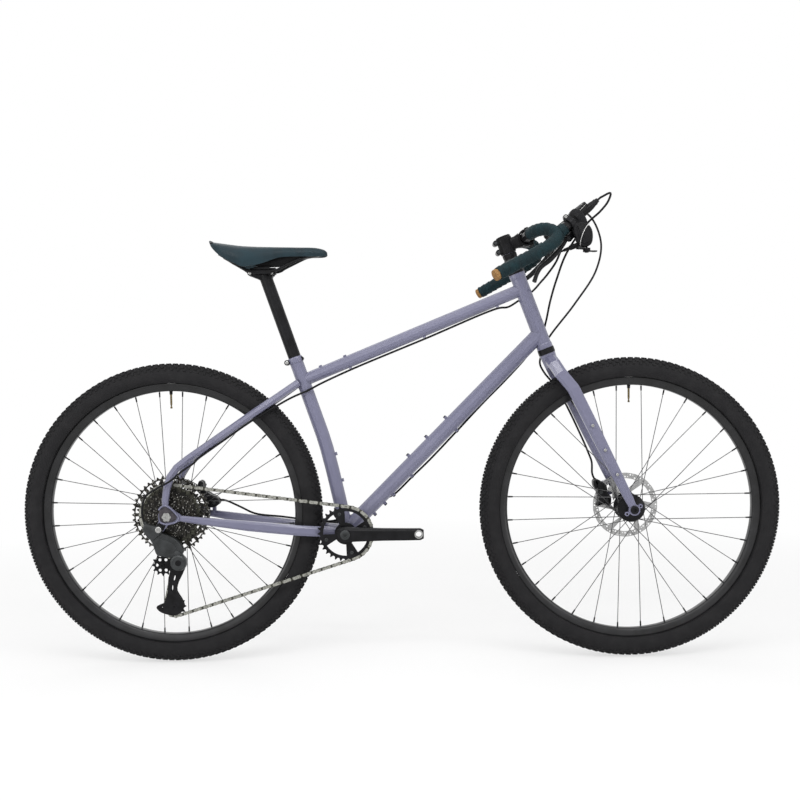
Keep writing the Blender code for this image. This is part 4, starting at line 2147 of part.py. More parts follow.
def build_bicycle():
    """Make every piece and hang the moving ones from empties on their joint axes."""
    build_head_tube()
    build_top_tube()
    build_down_tube()
    build_seat_tube()
    build_shell()
    build_chainstay(-1)
    build_chainstay(1)
    build_seatstays()
    build_seat_clamp()
    build_headset()
    build_bottom_bracket()
    build_rear_axle()
    build_caliper("rear_caliper", REAR_CALIPER, REAR_CALIPER_TILT, REAR_AXLE, REAR_HOSE_END)
    build_chain()

    steering = joint_empty("steering_axis", AXIS_FOOT)
    build_fork(steering)
    build_spacers(steering)
    build_stem(steering)
    build_handlebar(steering)
    right_tape = build_tape("right_tape", None)
    left_tape = mirror_piece(right_tape, "left_tape")
    finish(right_tape, "teal_tape", steering)
    finish(left_tape, "teal_tape", steering)
    build_end_plug(steering)
    build_front_axle(steering)
    build_caliper("front_caliper", FRONT_CALIPER, FRONT_CALIPER_TILT, FRONT_AXLE,
                  FRONT_HOSE_END, steering)
    build_hoses(steering)

    pivot = lever_frame()[0]
    levers = {
        "right": joint_empty("right_lever_pivot", pivot, steering),
        "left": joint_empty("left_lever_pivot", mirrored([pivot])[0], steering),
        "thumb": joint_empty("thumb_lever_pivot", bar_point(POD), steering),
        "release": joint_empty("release_lever_pivot", bar_point(POD), steering),
    }
    build_brake_control(steering, levers)
    build_shifter(steering, levers)

    front_wheel = joint_empty("front_wheel_axis", FRONT_AXLE, steering)
    build_tyre("front_tyre", front_wheel)
    build_rim("front_rim", front_wheel)
    build_front_hub(front_wheel)
    build_rotor("front_rotor", front_wheel, FRONT_ROTOR_Y)

    rear_wheel = joint_empty("rear_wheel_axis", REAR_AXLE)
    build_tyre("rear_tyre", rear_wheel)
    build_rim("rear_rim", rear_wheel)
    build_rear_hub(rear_wheel)
    build_rotor("rear_rotor", rear_wheel, REAR_ROTOR_Y)
    build_cassette(joint_empty("cassette_axis", REAR_AXLE))
    build_cranks(joint_empty("crank_axis", BB))

    link_pivot = joint_empty("link_pivot", LINK_HEAD)
    knuckle_pivot = joint_empty("knuckle_pivot", LINK_FOOT, link_pivot)
    cage_pivot = joint_empty("cage_pivot", CAGE_PIVOT, knuckle_pivot)
    build_derailleur({"link": link_pivot, "knuckle": knuckle_pivot})
    build_cage(cage_pivot)
    build_pulley("guide_pulley", GUIDE_PULLEY, joint_empty("guide_axis", GUIDE_PULLEY, cage_pivot))
    build_pulley("tension_pulley", TENSION_PULLEY,
                 joint_empty("tension_axis", TENSION_PULLEY, cage_pivot))

    post_slide = joint_empty("seatpost_slide", SEAT_TUBE_TOP)
    build_seatpost(post_slide)
    build_saddle_clamp(post_slide)
    build_saddle(joint_empty("saddle_slide", CLAMP_CENTRE, post_slide))


build_bicycle()
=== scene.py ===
import json
from math import asin, atan2, copysign, cos, hypot, pi, radians, sin

import bmesh
import bpy
from mathutils import Matrix, Vector
from mathutils.geometry import tessellate_polygon


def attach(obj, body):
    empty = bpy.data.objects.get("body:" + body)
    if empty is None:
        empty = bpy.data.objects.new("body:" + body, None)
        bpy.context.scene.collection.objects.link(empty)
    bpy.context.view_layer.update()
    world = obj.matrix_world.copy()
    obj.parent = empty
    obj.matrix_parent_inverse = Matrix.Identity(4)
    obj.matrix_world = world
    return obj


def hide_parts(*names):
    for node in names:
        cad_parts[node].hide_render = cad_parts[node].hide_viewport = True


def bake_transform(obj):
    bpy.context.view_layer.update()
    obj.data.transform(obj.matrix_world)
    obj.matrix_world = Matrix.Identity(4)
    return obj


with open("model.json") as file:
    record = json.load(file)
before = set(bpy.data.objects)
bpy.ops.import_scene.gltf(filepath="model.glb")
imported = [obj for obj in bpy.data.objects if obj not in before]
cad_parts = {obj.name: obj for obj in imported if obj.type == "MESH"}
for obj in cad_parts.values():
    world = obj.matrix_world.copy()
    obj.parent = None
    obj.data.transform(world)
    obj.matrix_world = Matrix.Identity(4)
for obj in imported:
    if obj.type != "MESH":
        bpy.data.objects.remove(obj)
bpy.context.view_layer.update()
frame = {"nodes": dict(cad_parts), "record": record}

AHEAD = Vector((1, 0, 0))
LEFT = Vector((0, 1, 0))
UP = Vector((0, 0, 1))
TURN = 2 * pi


def mm(*rows):
    """Rows of numbers, from thousandths to whole units."""
    return [tuple(value / 1000 for value in row) for row in rows]


def places(base, *rows):
    """Points that a base function gives for rows in millimetres."""
    return [base(*row) for row in mm(*rows)]


def around(centre):
    """Function for points given by their distance from a centre."""
    return lambda x, y, z: centre + Vector((x, y, z))


def leaning(degrees):
    """Direction that leans back from the level by an angle."""
    angle = radians(degrees)
    return Vector((-cos(angle), 0, sin(angle)))


# Places and directions from the CAD, in metres

REAR_AXLE = Vector((-0.5565, 0, 0.366))
FRONT_AXLE = Vector((0.5565, 0, 0.366))
BB = Vector((-0.134, 0, 0.317))
HEAD_UP = leaning(69.4)
HEAD_AHEAD = LEFT.cross(HEAD_UP)
AXIS_FOOT = FRONT_AXLE - HEAD_AHEAD * 0.052
SEAT_UP = leaning(71.1)
SEAT_FOOT = BB + AHEAD * 0.026
TOP_TUBE_REAR = SEAT_FOOT + SEAT_UP * 0.389
DOWN_TUBE_FRONT = AXIS_FOOT + HEAD_UP * 0.473
DOWN_DIR = (DOWN_TUBE_FRONT - BB).normalized()
DOWN_NORMAL = DOWN_DIR.cross(LEFT)
DOWN_BOSS_REACH = 0.0235
DOWN_HOSE_REACH = 0.0227
TYRE_R = 0.366
RIM_BED_R = 0.2975
RIM_HOOK_R = 0.3165
SPOKE_COUNT = 32
CHAIN_PITCH = 0.0127
SPROCKET_TEETH = (46, 40, 36, 32, 28, 24, 21, 18, 15, 13, 11)
SPROCKET_STEP = 0.0038
BIG_SPROCKET_Y = -0.031
CHAIN_Y = BIG_SPROCKET_Y - 2 * SPROCKET_STEP
CHAINRING_Y = -0.052
GUIDE_PULLEY = REAR_AXLE + Vector((-0.0215, CHAIN_Y, -0.122))
TENSION_PULLEY = REAR_AXLE + Vector((0.0055, CHAIN_Y, -0.223))


def on_axis(along, ahead=0, side=0):
    """Point beside the steering axis, counted from its foot."""
    return AXIS_FOOT + HEAD_UP * along + HEAD_AHEAD * ahead + LEFT * side


def on_down_tube(along, side, below):
    """Point by the down tube; side and below are shares of a hose's distance from its axis."""
    return BB + DOWN_DIR * along + (LEFT * side - DOWN_NORMAL * below) * DOWN_HOSE_REACH


BAR_CENTRE = on_axis(0.699, 0.05)
CLAMP_CENTRE = Vector((-0.326033, 0, 0.951008))
bar_point = around(BAR_CENTRE)
at_rear = around(REAR_AXLE)
spot = around(Vector())
MASTER_REAR = bar_point(0.0865, -0.1255, 0.0134)
MASTER_FRONT = bar_point(0.1505, -0.1255, 0.0684)
MASTER_AIM = (MASTER_FRONT - MASTER_REAR).normalized()
REAR_CALIPER = Vector((-0.483, 0.0552, 0.393))
REAR_HOSE_END = Vector((-0.453, 0.0612, 0.39))
FRONT_CALIPER = Vector((0.495, 0.043, 0.402))
FRONT_HOSE_END = Vector((0.482, 0.051, 0.431))
HOUSING_END = Vector((-0.6085, -0.087, 0.356))
HOUSING_RUN = Vector((-0.006, 0, 0.014))
POD = bar_point(0.119, -0.158, -0.025)
POD_INNER = POD + Vector((-0.013, 0.008, -0.009))
HALF_SLOT = 0.0016
SHIFT_PORT = bar_point(0.07, -0.1405, -0.0468)
STUB_FOOT = bar_point(0.05, -0.164, -0.015)
STUB_TIP = bar_point(0.1035, -0.15, 0.0294)
STUB_AIM = (STUB_TIP - STUB_FOOT).normalized()
LEVER_PIVOT = bar_point(0.0765, -0.146, -0.0206)
LEVER_AXIS = Vector((-0.57643509, 0.81629246, 0.03727044))
LEVER_TIP = bar_point(-0.0065, -0.2, -0.1216)
BLADE_AIM = (LEVER_TIP - LEVER_PIVOT).normalized()
HOSE_R = 0.0025
HOSE_LEAD = 0.008
TAPE_R = 0.0153
TAPE_LAP = 0.0027
TAPE_PITCH = 0.015

# Materials


def fill(tree, node, inputs):
    """Give each input of a node its number or colour, or another node's output."""
    for key, value in inputs.items():
        if isinstance(value, bpy.types.NodeSocket):
            tree.links.new(value, node.inputs[key])
        else:
            node.inputs[key].default_value = value


def add_node(tree, kind, inputs=None, **settings):
    node = tree.nodes.new("ShaderNode" + kind)
    for key, value in settings.items():
        setattr(node, key, value)
    fill(tree, node, inputs or {})
    return node


class Look:
    """A node material whose colour, roughness and relief come from procedural textures."""

    def __init__(self, name, base, rough, metallic=0, coat=0, coat_rough=0.05, sheen=0,
                 gleam=0.5):
        self.material = bpy.data.materials.new(name)
        self.material.use_nodes = True
        self.tree = self.material.node_tree
        self.colour = (*base, 1)
        self.height = None
        self.place = self.add("TexCoord").outputs["Object"]
        self.shade(**{"Base Color": self.colour, "Roughness": rough, "Metallic": metallic,
                      "Specular IOR Level": gleam, "Coat Weight": coat,
                      "Coat Roughness": coat_rough, "Sheen Weight": sheen})

    def add(self, kind, inputs=None, **settings):
        return add_node(self.tree, kind, inputs, **settings)

    def shade(self, **inputs):
        fill(self.tree, self.tree.nodes["Principled BSDF"], inputs)
        return self

    def mapped(self, stretch=(1, 1, 1), shift=(0, 0, 0)):
        return self.add("Mapping", {"Vector": self.place, "Scale": stretch,
                                    "Location": shift}).outputs["Vector"]

    def noise(self, scale, detail=3, stretch=None):
        """A noise field of the given number of patches per metre."""
        place = self.mapped(stretch) if stretch else self.place
        return self.add("TexNoise", {"Scale": scale, "Detail": detail,
                                     "Vector": place}).outputs["Fac"]

    def cells(self, scale):
        """Distance to the nearest of many scattered points."""
        return self.add("TexVoronoi", {"Scale": scale, "Vector": self.place}).outputs["Distance"]

    def rings(self, centre, per_metre):
        """Fine turned rings round an axle."""
        return self.add("TexWave", {"Scale": per_metre, "Distortion": 1.5, "Detail": 2,
                                    "Vector": self.mapped(shift=tuple(-c for c in centre))},
                        wave_type="RINGS", rings_direction="Y").outputs["Fac"]

    def steps(self, field, low, high):
        """The field stretched so that low becomes 0 and high becomes 1."""
        return self.add("MapRange", {"Value": field, "From Min": low,
                                     "From Max": high}).outputs["Result"]

    def tint(self, colour, field, low=0.35, high=0.65):
        """Blend towards another colour where the field is high."""
        mix = self.add("Mix", {"Factor": self.steps(field, low, high), "A": self.colour,
                               "B": (*colour, 1)}, data_type="RGBA")
        self.colour = mix.outputs["Result"]
        return self.shade(**{"Base Color": self.colour})

    def polish(self, field, low, high):
        """Roughness that runs from low to high with the field."""
        made = self.add("MapRange", {"Value": field, "From Min": 0.3, "From Max": 0.7,
                                     "To Min": low, "To Max": high})
        return self.shade(Roughness=made.outputs["Result"])

    def relief(self, field, depth, strength):
        """Surface relief of the given depth in metres, over what is there."""
        inputs = {"Distance": depth, "Strength": strength, "Height": field}
        if self.height:
            inputs["Normal"] = self.height
        made = self.add("Bump", inputs)
        self.height = made.outputs["Normal"]
        return self.shade(Normal=self.height)


def worn(name, base, rough, patch, second, polish, grain=None, share=(0.35, 0.65), **levels):
    """Look in patches of two colours, whose polish follows the patches, with a fine grain."""
    look = Look(name, base, rough, **levels)
    field = look.noise(*patch)
    look.tint(second, field, *share).polish(field, *polish)
    if grain:
        depth, strength, *size = grain
        look.relief(look.noise(*size), depth, strength)
    return look


def turned(name, centre):
    """Bright steel with the rings of a lathe."""
    look = Look(name, (0.5, 0.5, 0.495), 0.28, metallic=1)
    field = look.rings(centre, 260)
    look.tint((0.33, 0.33, 0.33), field, 0.2, 0.8).polish(field, 0.22, 0.38)
    return look.relief(field, 0.00002, 0.5)


FINE = (0.00002, 0.5, 900, 2)
ROUGH_STEEL = (0.00003, 0.6, 1500)
LOOKS = {
    "paint": worn("lilac_paint", (0.158, 0.158, 0.236), 0.4, (9, 4), (0.141, 0.141, 0.216),
                  (0.36, 0.44), (0.00002, 0.15, 60, 2), coat=0.6, coat_rough=0.16, gleam=0.3),
    "black": worn("black_anodised", (0.007, 0.007, 0.0076), 0.34, (40, 5),
                  (0.012, 0.012, 0.0135), (0.28, 0.4), FINE, metallic=0.1, gleam=0.12),
    "plastic": worn("black_plastic", (0.0072, 0.0072, 0.0078), 0.46, (60, 4),
                    (0.013, 0.013, 0.0145), (0.42, 0.58), (0.00004, 0.5, 900, 2),
                    gleam=0.1),
    "grey": worn("dark_grey_alloy", (0.021, 0.023, 0.024), 0.34, (45, 5),
                 (0.04, 0.043, 0.045), (0.26, 0.42), FINE, metallic=0.35, gleam=0.4),
    "steel": worn("ground_steel", (0.47, 0.47, 0.46), 0.26, (150, 5, (1, 1, 6)),
                  (0.27, 0.27, 0.265), (0.2, 0.36),
                  (0.00002, 0.6, 1500, 2, (1, 1, 8)), metallic=1),
    "front_rotor": turned("front_rotor_steel", FRONT_AXLE),
    "rear_rotor": turned("rear_rotor_steel", REAR_AXLE),
    "chain": worn("chain_steel", (0.37, 0.37, 0.335), 0.3, (260, 4), (0.13, 0.13, 0.115),
                  (0.26, 0.46), ROUGH_STEEL, (0.44, 0.66), metallic=0.9),
    "dark_chain": worn("dark_chain_steel", (0.04, 0.04, 0.032), 0.38, (300, 4),
                       (0.11, 0.11, 0.085), (0.3, 0.5), None, (0.5, 0.7), metallic=0.8,
                       gleam=0.3),
    "sprocket": worn("sprocket_steel_and_painted_glints", (0.0105, 0.01, 0.009), 0.36, (95, 5),
                     (0.045, 0.042, 0.034), (0.26, 0.46), ROUGH_STEEL, (0.45, 0.7),
                     metallic=0.6, gleam=0.3),
    "spoke": worn("dark_spoke_steel", (0.06, 0.06, 0.062), 0.3, (80, 3),
                  (0.11, 0.11, 0.11), (0.24, 0.36), metallic=0.9, gleam=0.4),
    "tyre": worn("tyre_rubber", (0.0118, 0.0115, 0.0125), 0.78, (35, 6),
                 (0.0205, 0.02, 0.021), (0.7, 0.88), (0.0001, 0.7, 900, 4), (0.4, 0.75),
                 gleam=0.16),
    "tape": worn("teal_tape", (0.005, 0.015, 0.0185), 0.62, (55, 5),
                 (0.0085, 0.0265, 0.032), (0.52, 0.72), None, (0.4, 0.7), sheen=0.02, gleam=0.14),
    "saddle": worn("teal_saddle", (0.006, 0.017, 0.0235), 0.48, (26, 5),
                   (0.011, 0.03, 0.04), (0.4, 0.58),
                   (0.00011, 0.8, 1300, 3, (1, 0.45, 1)), (0.38, 0.72), sheen=0.02,
                   gleam=0.2),
    "cork": Look("tan_cork", (0.36, 0.205, 0.075), 0.82, gleam=0.25),
    "rim": worn("satin_rim", (0.0085, 0.0085, 0.009), 0.36, (30, 5),
                (0.016, 0.016, 0.0175), (0.28, 0.42), FINE, metallic=0.2, coat=0.2, gleam=0.3),
    "brass": worn("brass", (0.16, 0.125, 0.065), 0.32, (300, 4), (0.085, 0.07, 0.04),
                  (0.26, 0.42), metallic=1),
    "pale": worn("pale_alloy", (0.6, 0.6, 0.59), 0.34, (160, 4), (0.46, 0.46, 0.455),
                 (0.28, 0.42), (0.00002, 0.5, 1100), metallic=0.35),
    # painted shade: the socket look is a dark lilac grey for the dropout's recessed pocket, where
    # shadow falls
    "socket": worn("painted_pocket_shade", (0.07, 0.063, 0.072), 0.5, (90, 4),
                   (0.036, 0.033, 0.038), (0.44, 0.6), metallic=0.2, gleam=0.2),
}
# painted highlight: scattered bright speckles tinted into the dark sprocket steel stand in for
# glints of light off the teeth
painted_glints = LOOKS["sprocket"]
painted_glints.tint((0.42, 0.41, 0.38), painted_glints.noise(230, 2), 0.61, 0.67)
tape = LOOKS["tape"]
tape.relief(tape.steps(tape.cells(330), 0.06, 0.2), 0.00016, 0.8)
tape.relief(tape.noise(1400, 3), 0.00007, 0.6)
cork = LOOKS["cork"]
grains = cork.cells(520)
cork.tint((0.19, 0.095, 0.034), grains, 0.3, 0.62)
cork.tint((0.5, 0.32, 0.15), cork.noise(700, 4), 0.55, 0.75).relief(grains, 0.0003, 0.7)
SLOT_LOOKS = {
    # looks of each slot, of which the first also goes on the CAD nodes with that slot
    "lilac_paint": ("paint",), "black_alloy": ("black", "sprocket", "spoke", "rim"),
    "black_plastic": ("plastic",), "grey_alloy": ("grey", "socket"),
    "silver_steel": ("steel", "front_rotor", "rear_rotor", "brass", "pale"),
    "chain_steel": ("chain", "dark_chain"), "tyre_rubber": ("tyre",), "teal_tape": ("tape",),
    "teal_rubber": ("saddle",), "tan_cork": ("cork",),
}
for entry in frame["record"]["subparts"]:
    carried = frame["nodes"][entry["node"]]
    carried.data.materials.clear()
    carried.data.materials.append(LOOKS[SLOT_LOOKS[entry["material_slot"]][0]].material)

# Shape tools


class Shape:
    """Mesh under construction, made of closed forms."""

    def __init__(self):
        self.bm = bmesh.new()

    def loft(self, rings, closed=False):
        """Skin over rings of points, each with the same number of points."""
        rows = [[self.bm.verts.new(p) for p in points] for points in rings]
        count = len(rows[0])
        for low, high in list(zip(rows, rows[1:])) + ([(rows[-1], rows[0])] if closed else []):
            for i in range(count):
                j = (i + 1) % count
                self.bm.faces.new((low[i], low[j], high[j], high[i]))
        if not closed:
            self.bm.faces.new(list(reversed(rows[0])))
            self.bm.faces.new(rows[-1])
        return self

    def lathe(self, profile, centre, axis=LEFT, steps=96):
        """Closed profile of (radius, along) points turned round an axis."""
        side = axis.orthogonal().normalized() if axis != LEFT else AHEAD
        other = axis.cross(side)
        outs = ring(Vector(), side, other, 1, steps)
        return self.loft([[centre + out * max(r, 0.00002) + axis * y for r, y in profile]
                          for out in outs], closed=True)

    def rod(self, start, end, radius, end_radius=None, sides=16, bevel=0):
        """Round bar, with its far edge rounded where bevel is given."""
        along = (end - start).normalized()
        side = along.orthogonal().normalized()
        far = radius if end_radius is None else end_radius
        stations = [(start, radius), (end - along * bevel, far)]
        if bevel:
            stations += [(end - along * bevel * 0.3, far - bevel * 0.35), (end, far - bevel)]
        return self.loft([ring(place, side, along.cross(side), r, sides)
                          for place, r in stations])

    def pin(self, place, axis, reach, radius, **more):
        """Round bar that reaches as far to both sides of a place."""
        return self.rod(place - axis * reach, place + axis * reach, radius, **more)

    def spindle(self, place, low, high, radius, *more, **rest):
        """Round bar across the bicycle, from low to high beside a place."""
        return self.rod(place + LEFT * low, place + LEFT * high, radius, *more, **rest)

    def tube(self, points, radius, sides=12):
        """Round tube along a path."""
        return self.loft([ring(place, side, other, radius, sides)
                          for _, place, _, side, other in carried_frames(points)])

    def plate(self, outline, low, high, holes=(), centre=Vector(), axes=(AHEAD, UP, LEFT)):
        """Flat plate with holes; outlines are 2-D points in the first two axes."""
        loops = [outline, *holes]
        x, z, y = axes
        faces = tessellate_polygon([[Vector((*p, 0)) for p in loop] for loop in loops])
        lower, upper = ([self.bm.verts.new(centre + x * p[0] + z * p[1] + y * level)
                         for loop in loops for p in loop] for level in (low, high))
        for a, b, c in faces:
            self.bm.faces.new((lower[a], lower[c], lower[b]))
            self.bm.faces.new((upper[a], upper[b], upper[c]))
        start = 0
        for loop in loops:
            for i in range(len(loop)):
                a, b = start + i, start + (i + 1) % len(loop)
                self.bm.faces.new((lower[a], lower[b], upper[b], upper[a]))
            start += len(loop)
        return self

    def pebble(self, outline, low, high, edge, centre=Vector(), axes=(AHEAD, UP, LEFT)):
        """Slab with rounded edges; its outline is 2-D points in the first two axes."""
        x, z, y = axes
        levels = ((low, edge), (low + edge * 0.3, edge * 0.3), (low + edge, 0),
                  (high - edge, 0), (high - edge * 0.3, edge * 0.3), (high, edge))
        return self.loft([[centre + x * p[0] + z * p[1] + y * depth
                           for p in shrunk(outline, inset)] for depth, inset in levels])

    def opposite(self):
        """The same shape on the other side of the bicycle."""
        other = Shape()
        other.bm.free()
        other.bm = self.bm.copy()
        for vert in other.bm.verts:
            vert.co.y = -vert.co.y
        return other

    def block(self, centre, size, axes=(AHEAD, LEFT, UP), taper=1):
        """Box along three axes whose far side is narrower by taper."""
        x, y, z = (axis * length for axis, length in zip(axes, size))
        corners = ((-0.5, -0.5), (0.5, -0.5), (0.5, 0.5), (-0.5, 0.5))
        return self.loft([[centre + (x * i + y * j) * scale + z * rise for i, j in corners]
                          for rise, scale in ((-0.5, 1), (0.5, taper))])

    def bolt(self, place, out, radius, height, socket=0.5):
        """Round bolt head with a six-sided socket, standing on place and facing out."""
        side = out.orthogonal().normalized()
        other = out.cross(side)
        sector = TURN / 6

        def flat(angle):
            return radius * socket * cos(sector / 2) / cos(angle % sector - sector / 2)

        levels = [(radius * r, y) for r, y in ((1, 0), (1, 0.7), (0.88, 0.93), (0.74, 1))]
        return self.loft([ring(place + out * height * y, side, other, r, 24)
                          for r, y in (*levels, (flat, 1), (flat, 0.35))])

    def bolts(self, place, axis, reach, *size):
        """Bolt heads that face outwards at both sides of a place."""
        for out in (-axis, axis):
            self.bolt(place + out * reach, out, *size)
        return self

    def finish(self, name, look, body, replaces=(), smooth=35, blend=None):
        """Close the mesh as a piece of the scene that rides on a body, or that stays fixed in the
        world where blend is given.
        """
        bmesh.ops.recalc_face_normals(self.bm, faces=self.bm.faces)
        mesh = bpy.data.meshes.new(name)
        self.bm.to_mesh(mesh)
        self.bm.free()
        obj = bpy.data.objects.new(name, mesh)
        bpy.context.scene.collection.objects.link(obj)
        mesh.materials.append(LOOKS[look].material)
        mesh.shade_smooth()
        mesh.set_sharp_from_angle(angle=radians(smooth))
        if blend:
            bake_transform(obj)
        else:
            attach(obj, body)
        if replaces:
            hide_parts(*replaces)
        return obj


def ring(place, side, other, radius, count):
    """Points round a place; the radius is a number or a function of the angle."""
    made = []
    for index in range(count):
        angle = TURN * index / count
        reach = radius(angle) if callable(radius) else radius
        made.append(place + (side * cos(angle) + other * sin(angle)) * reach)
    return made


def squared(power, count):
    """Pairs of -1 to 1 round a circle that is squared off by a power."""
    return [[copysign(abs(v) ** power, v) for v in polar(1, TURN * i / count)]
            for i in range(count)]


def carried_frames(points):
    """Share, place, direction and two cross directions along a path, without twist."""
    lengths = run_lengths(points)
    made = []
    side = None
    for index, place in enumerate(points):
        before = points[max(index - 1, 0)]
        after = points[min(index + 1, len(points) - 1)]
        along = (after - before).normalized()
        if side is None:
            side = along.orthogonal().normalized()
        side = (side - along * side.dot(along)).normalized()
        made.append((lengths[index] / lengths[-1], place, along, side, along.cross(side)))
    return made


def run_lengths(points):
    """Distance along a path to each of its points."""
    lengths = [0]
    for first, second in zip(points, points[1:]):
        lengths.append(lengths[-1] + (second - first).length)
    return lengths


def spline(points, step=0.004):
    """Smooth curve through the points, resampled at about the given step."""
    knots = [points[0] * 2 - points[1], *points, points[-1] * 2 - points[-2]]
    made = []
    for p0, p1, p2, p3 in zip(knots, knots[1:], knots[2:], knots[3:]):
        t1, gap, last = (max((b - a).length, 1e-6) ** 0.5
                         for a, b in ((p0, p1), (p1, p2), (p2, p3)))
        t2 = t1 + gap
        t3 = t2 + last
        count = max(int((p2 - p1).length / step), 1)
        for index in range(count):
            t = t1 + (t2 - t1) * index / count
            a1 = p0 * ((t1 - t) / t1) + p1 * (t / t1)
            a2 = p1 * ((t2 - t) / (t2 - t1)) + p2 * ((t - t1) / (t2 - t1))
            a3 = p2 * ((t3 - t) / (t3 - t2)) + p3 * ((t - t2) / (t3 - t2))
            b1 = a1 * ((t2 - t) / t2) + a2 * (t / t2)
            b2 = a2 * ((t3 - t) / (t3 - t1)) + a3 * ((t - t1) / (t3 - t1))
            made.append(b1 * ((t2 - t) / (t2 - t1)) + b2 * ((t - t1) / (t2 - t1)))
    made.append(points[-1].copy())
    return made


def between(rows, t):
    """Numbers at share t between the second and third of four rows, on a smooth curve."""
    return tuple(0.5 * (2 * b + (c - a) * t + (2 * a - 5 * b + 4 * c - d) * t * t
                        + (3 * b - a - 3 * c + d) * t * t * t) for a, b, c, d in zip(*rows))


def curved(steps, *rows):
    """Closed smooth outline through 2-D points in millimetres."""
    points = mm(*rows)
    count = len(points)
    return [between([points[(index + k) % count] for k in (-1, 0, 1, 2)], step / steps)
            for index in range(count) for step in range(steps)]


def shrunk(outline, amount):
    """Outline moved inwards by an amount."""
    loop = list(zip(outline, outline[1:] + outline[:1]))
    sense = copysign(amount, sum(a[0] * b[1] - b[0] * a[1] for a, b in loop))
    made = []
    for index, (x, z) in enumerate(outline):
        before, after = outline[index - 1], outline[(index + 1) % len(outline)]
        dx, dz = after[0] - before[0], after[1] - before[1]
        size = hypot(dx, dz)
        made.append((x - sense * dz / size, z + sense * dx / size))
    return made


def polar(radius, angle):
    return (radius * cos(angle), radius * sin(angle))


def circle(centre, radius, count):
    return [(centre[0] + x, centre[1] + z)
            for x, z in (polar(radius, TURN * i / count) for i in range(count))]


def windows(count, first, inner, outer, low, high, steps=6):
    """Openings round a wheel, each between two radii and two shares of its sector."""
    made = []
    for index in range(count):
        start, end = (first + TURN * (index + share) / count for share in (low, high))
        turns = [start + (end - start) * i / steps for i in range(steps + 1)]
        made.append([polar(outer, a) for a in turns] + [polar(inner, a) for a in turns[::-1]])
    return made


def sleeve(inner, outer, low, high, edge, lip):
    """Profile in millimetres of a collar whose outer edges are cut by edge and lip."""
    return mm((inner, low), (outer - edge, low), (outer, low + lip), (outer, high - lip),
              (outer - edge, high), (inner, high))


def mirrored(points):
    return [Vector((p.x, -p.y, p.z)) for p in points]


def both_sides(shape, name, look, body="steering", replaced=None):
    """Finish a right-hand piece and its left-hand twin."""
    twin = shape.opposite()
    for side, piece in (("right", shape), ("left", twin)):
        rider = body if body == "steering" else side + body
        piece.finish(side + name, look, rider, (side + replaced,) if replaced else ())


# Wheels

TREAD_PITCHES = 138
TREAD_ROWS = (
    # shift, lean in degrees, length, width and height in metres, skew
    (0, 9.5, 0.007, 0.0052, 0.0032, 0),
    (0.5, 27, 0.0066, 0.0056, 0.0031, 0.25),
    (0, 43, 0.0076, 0.0062, 0.0031, 0),
    (0.5, 58, 0.0058, 0.007, 0.0024, 0),
)
FRONT_HUB = mm(
    (8.2, -54.7), (11.2, -54.7), (11.6, -38), (18, -37.2), (30, -33), (33.2, -29.2),
    (33.5, -24.6), (31.2, -24), (30.5, -22.6), (30.5, 16), (31.2, 17.2), (33.5, 17.6),
    (33.5, 21.2), (32.2, 22.2), (24, 26.2), (21.5, 29), (21.5, 41.8), (16, 41.8),
    (16, 46), (10.4, 46.2), (10.4, 54.7), (8.2, 54.7))
REAR_HUB = mm(
    (6.6, -27.5), (15.8, -27.5), (16.8, -22.5), (28, -22.1), (29, -21.4), (29, -18.6),
    (28, -17.9), (20, -17.2), (17.2, -14), (15.2, -6), (15, 14), (16.8, 26), (20.5, 30.2),
    (28, 30.4), (29, 31.1), (29, 33.9), (28, 34.6), (23.2, 37.2), (21.5, 40), (21.5, 54),
    (16, 54), (16, 58), (10.4, 58.4), (10.4, 73.7), (6.6, 73.7))


def tyre_shape(centre):
    """Carcass with ribbed side walls and rows of small tread blocks."""
    round_r, round_y, middle = 0.0282, 0.0292, TYRE_R - 0.0315
    outer = []
    for index in range(31):
        angle = radians(-126 + 252 * index / 30)
        lift = 0.00022 if index % 2 and 0.3 < abs(sin(angle)) and abs(angle) > 1.15 else 0
        outer.append((middle + (round_r + lift) * cos(angle),
                      (round_y + lift) * sin(angle)))
    bead = [(RIM_HOOK_R + 0.0008, 0.0152), (RIM_HOOK_R + 0.0006, 0.012)]
    profile = [*outer, *bead, (middle, 0.0265), (TYRE_R - 0.0065, 0),
               (middle, -0.0265), *[(r, -y) for r, y in reversed(bead)]]
    shape = Shape().lathe(profile, centre, steps=180)
    rows = [(shift if hand > 0 else 0.5 - shift, radians(lean * hand), size, skew * hand)
            for shift, lean, *size, skew in TREAD_ROWS for hand in (1, -1)]
    for index in range(TREAD_PITCHES):
        for shift, tilt, (length, width, height), skew in rows:
            turn = TURN * (index + shift) / TREAD_PITCHES
            out = Vector((cos(turn), 0, sin(turn)))
            normal = out * cos(tilt) + LEFT * sin(tilt)
            across = LEFT * cos(tilt) - out * sin(tilt)
            skewed = (LEFT.cross(out) + across * skew).normalized()
            place = centre + out * (middle + round_r * cos(tilt))
            place += LEFT * round_y * sin(tilt) + normal * (height / 2 - 0.0006)
            shape.block(place, (length, width, height), (skewed, across, normal), taper=0.84)
    return shape


def rim_shape(centre):
    """Hooked rim section with rounded spoke bed and slightly hollow flanks."""
    bed = mm((0, 0), (0.1, 6.2), (0.9, 9.2), (3, 11.3), (9, 13.4))
    hook = mm((-5, 14.6), (-0.8, 15.1), (0.4, 14.6), (0.4, 13.3), (-4, 12.8))
    half = [*((RIM_BED_R + r, y) for r, y in bed), *((RIM_HOOK_R + r, y) for r, y in hook),
            (RIM_BED_R + 0.01, 0.009), (RIM_BED_R + 0.008, 0.003)]
    return Shape().lathe(half + [(r, -y) for r, y in reversed(half[1:])], centre, steps=160)


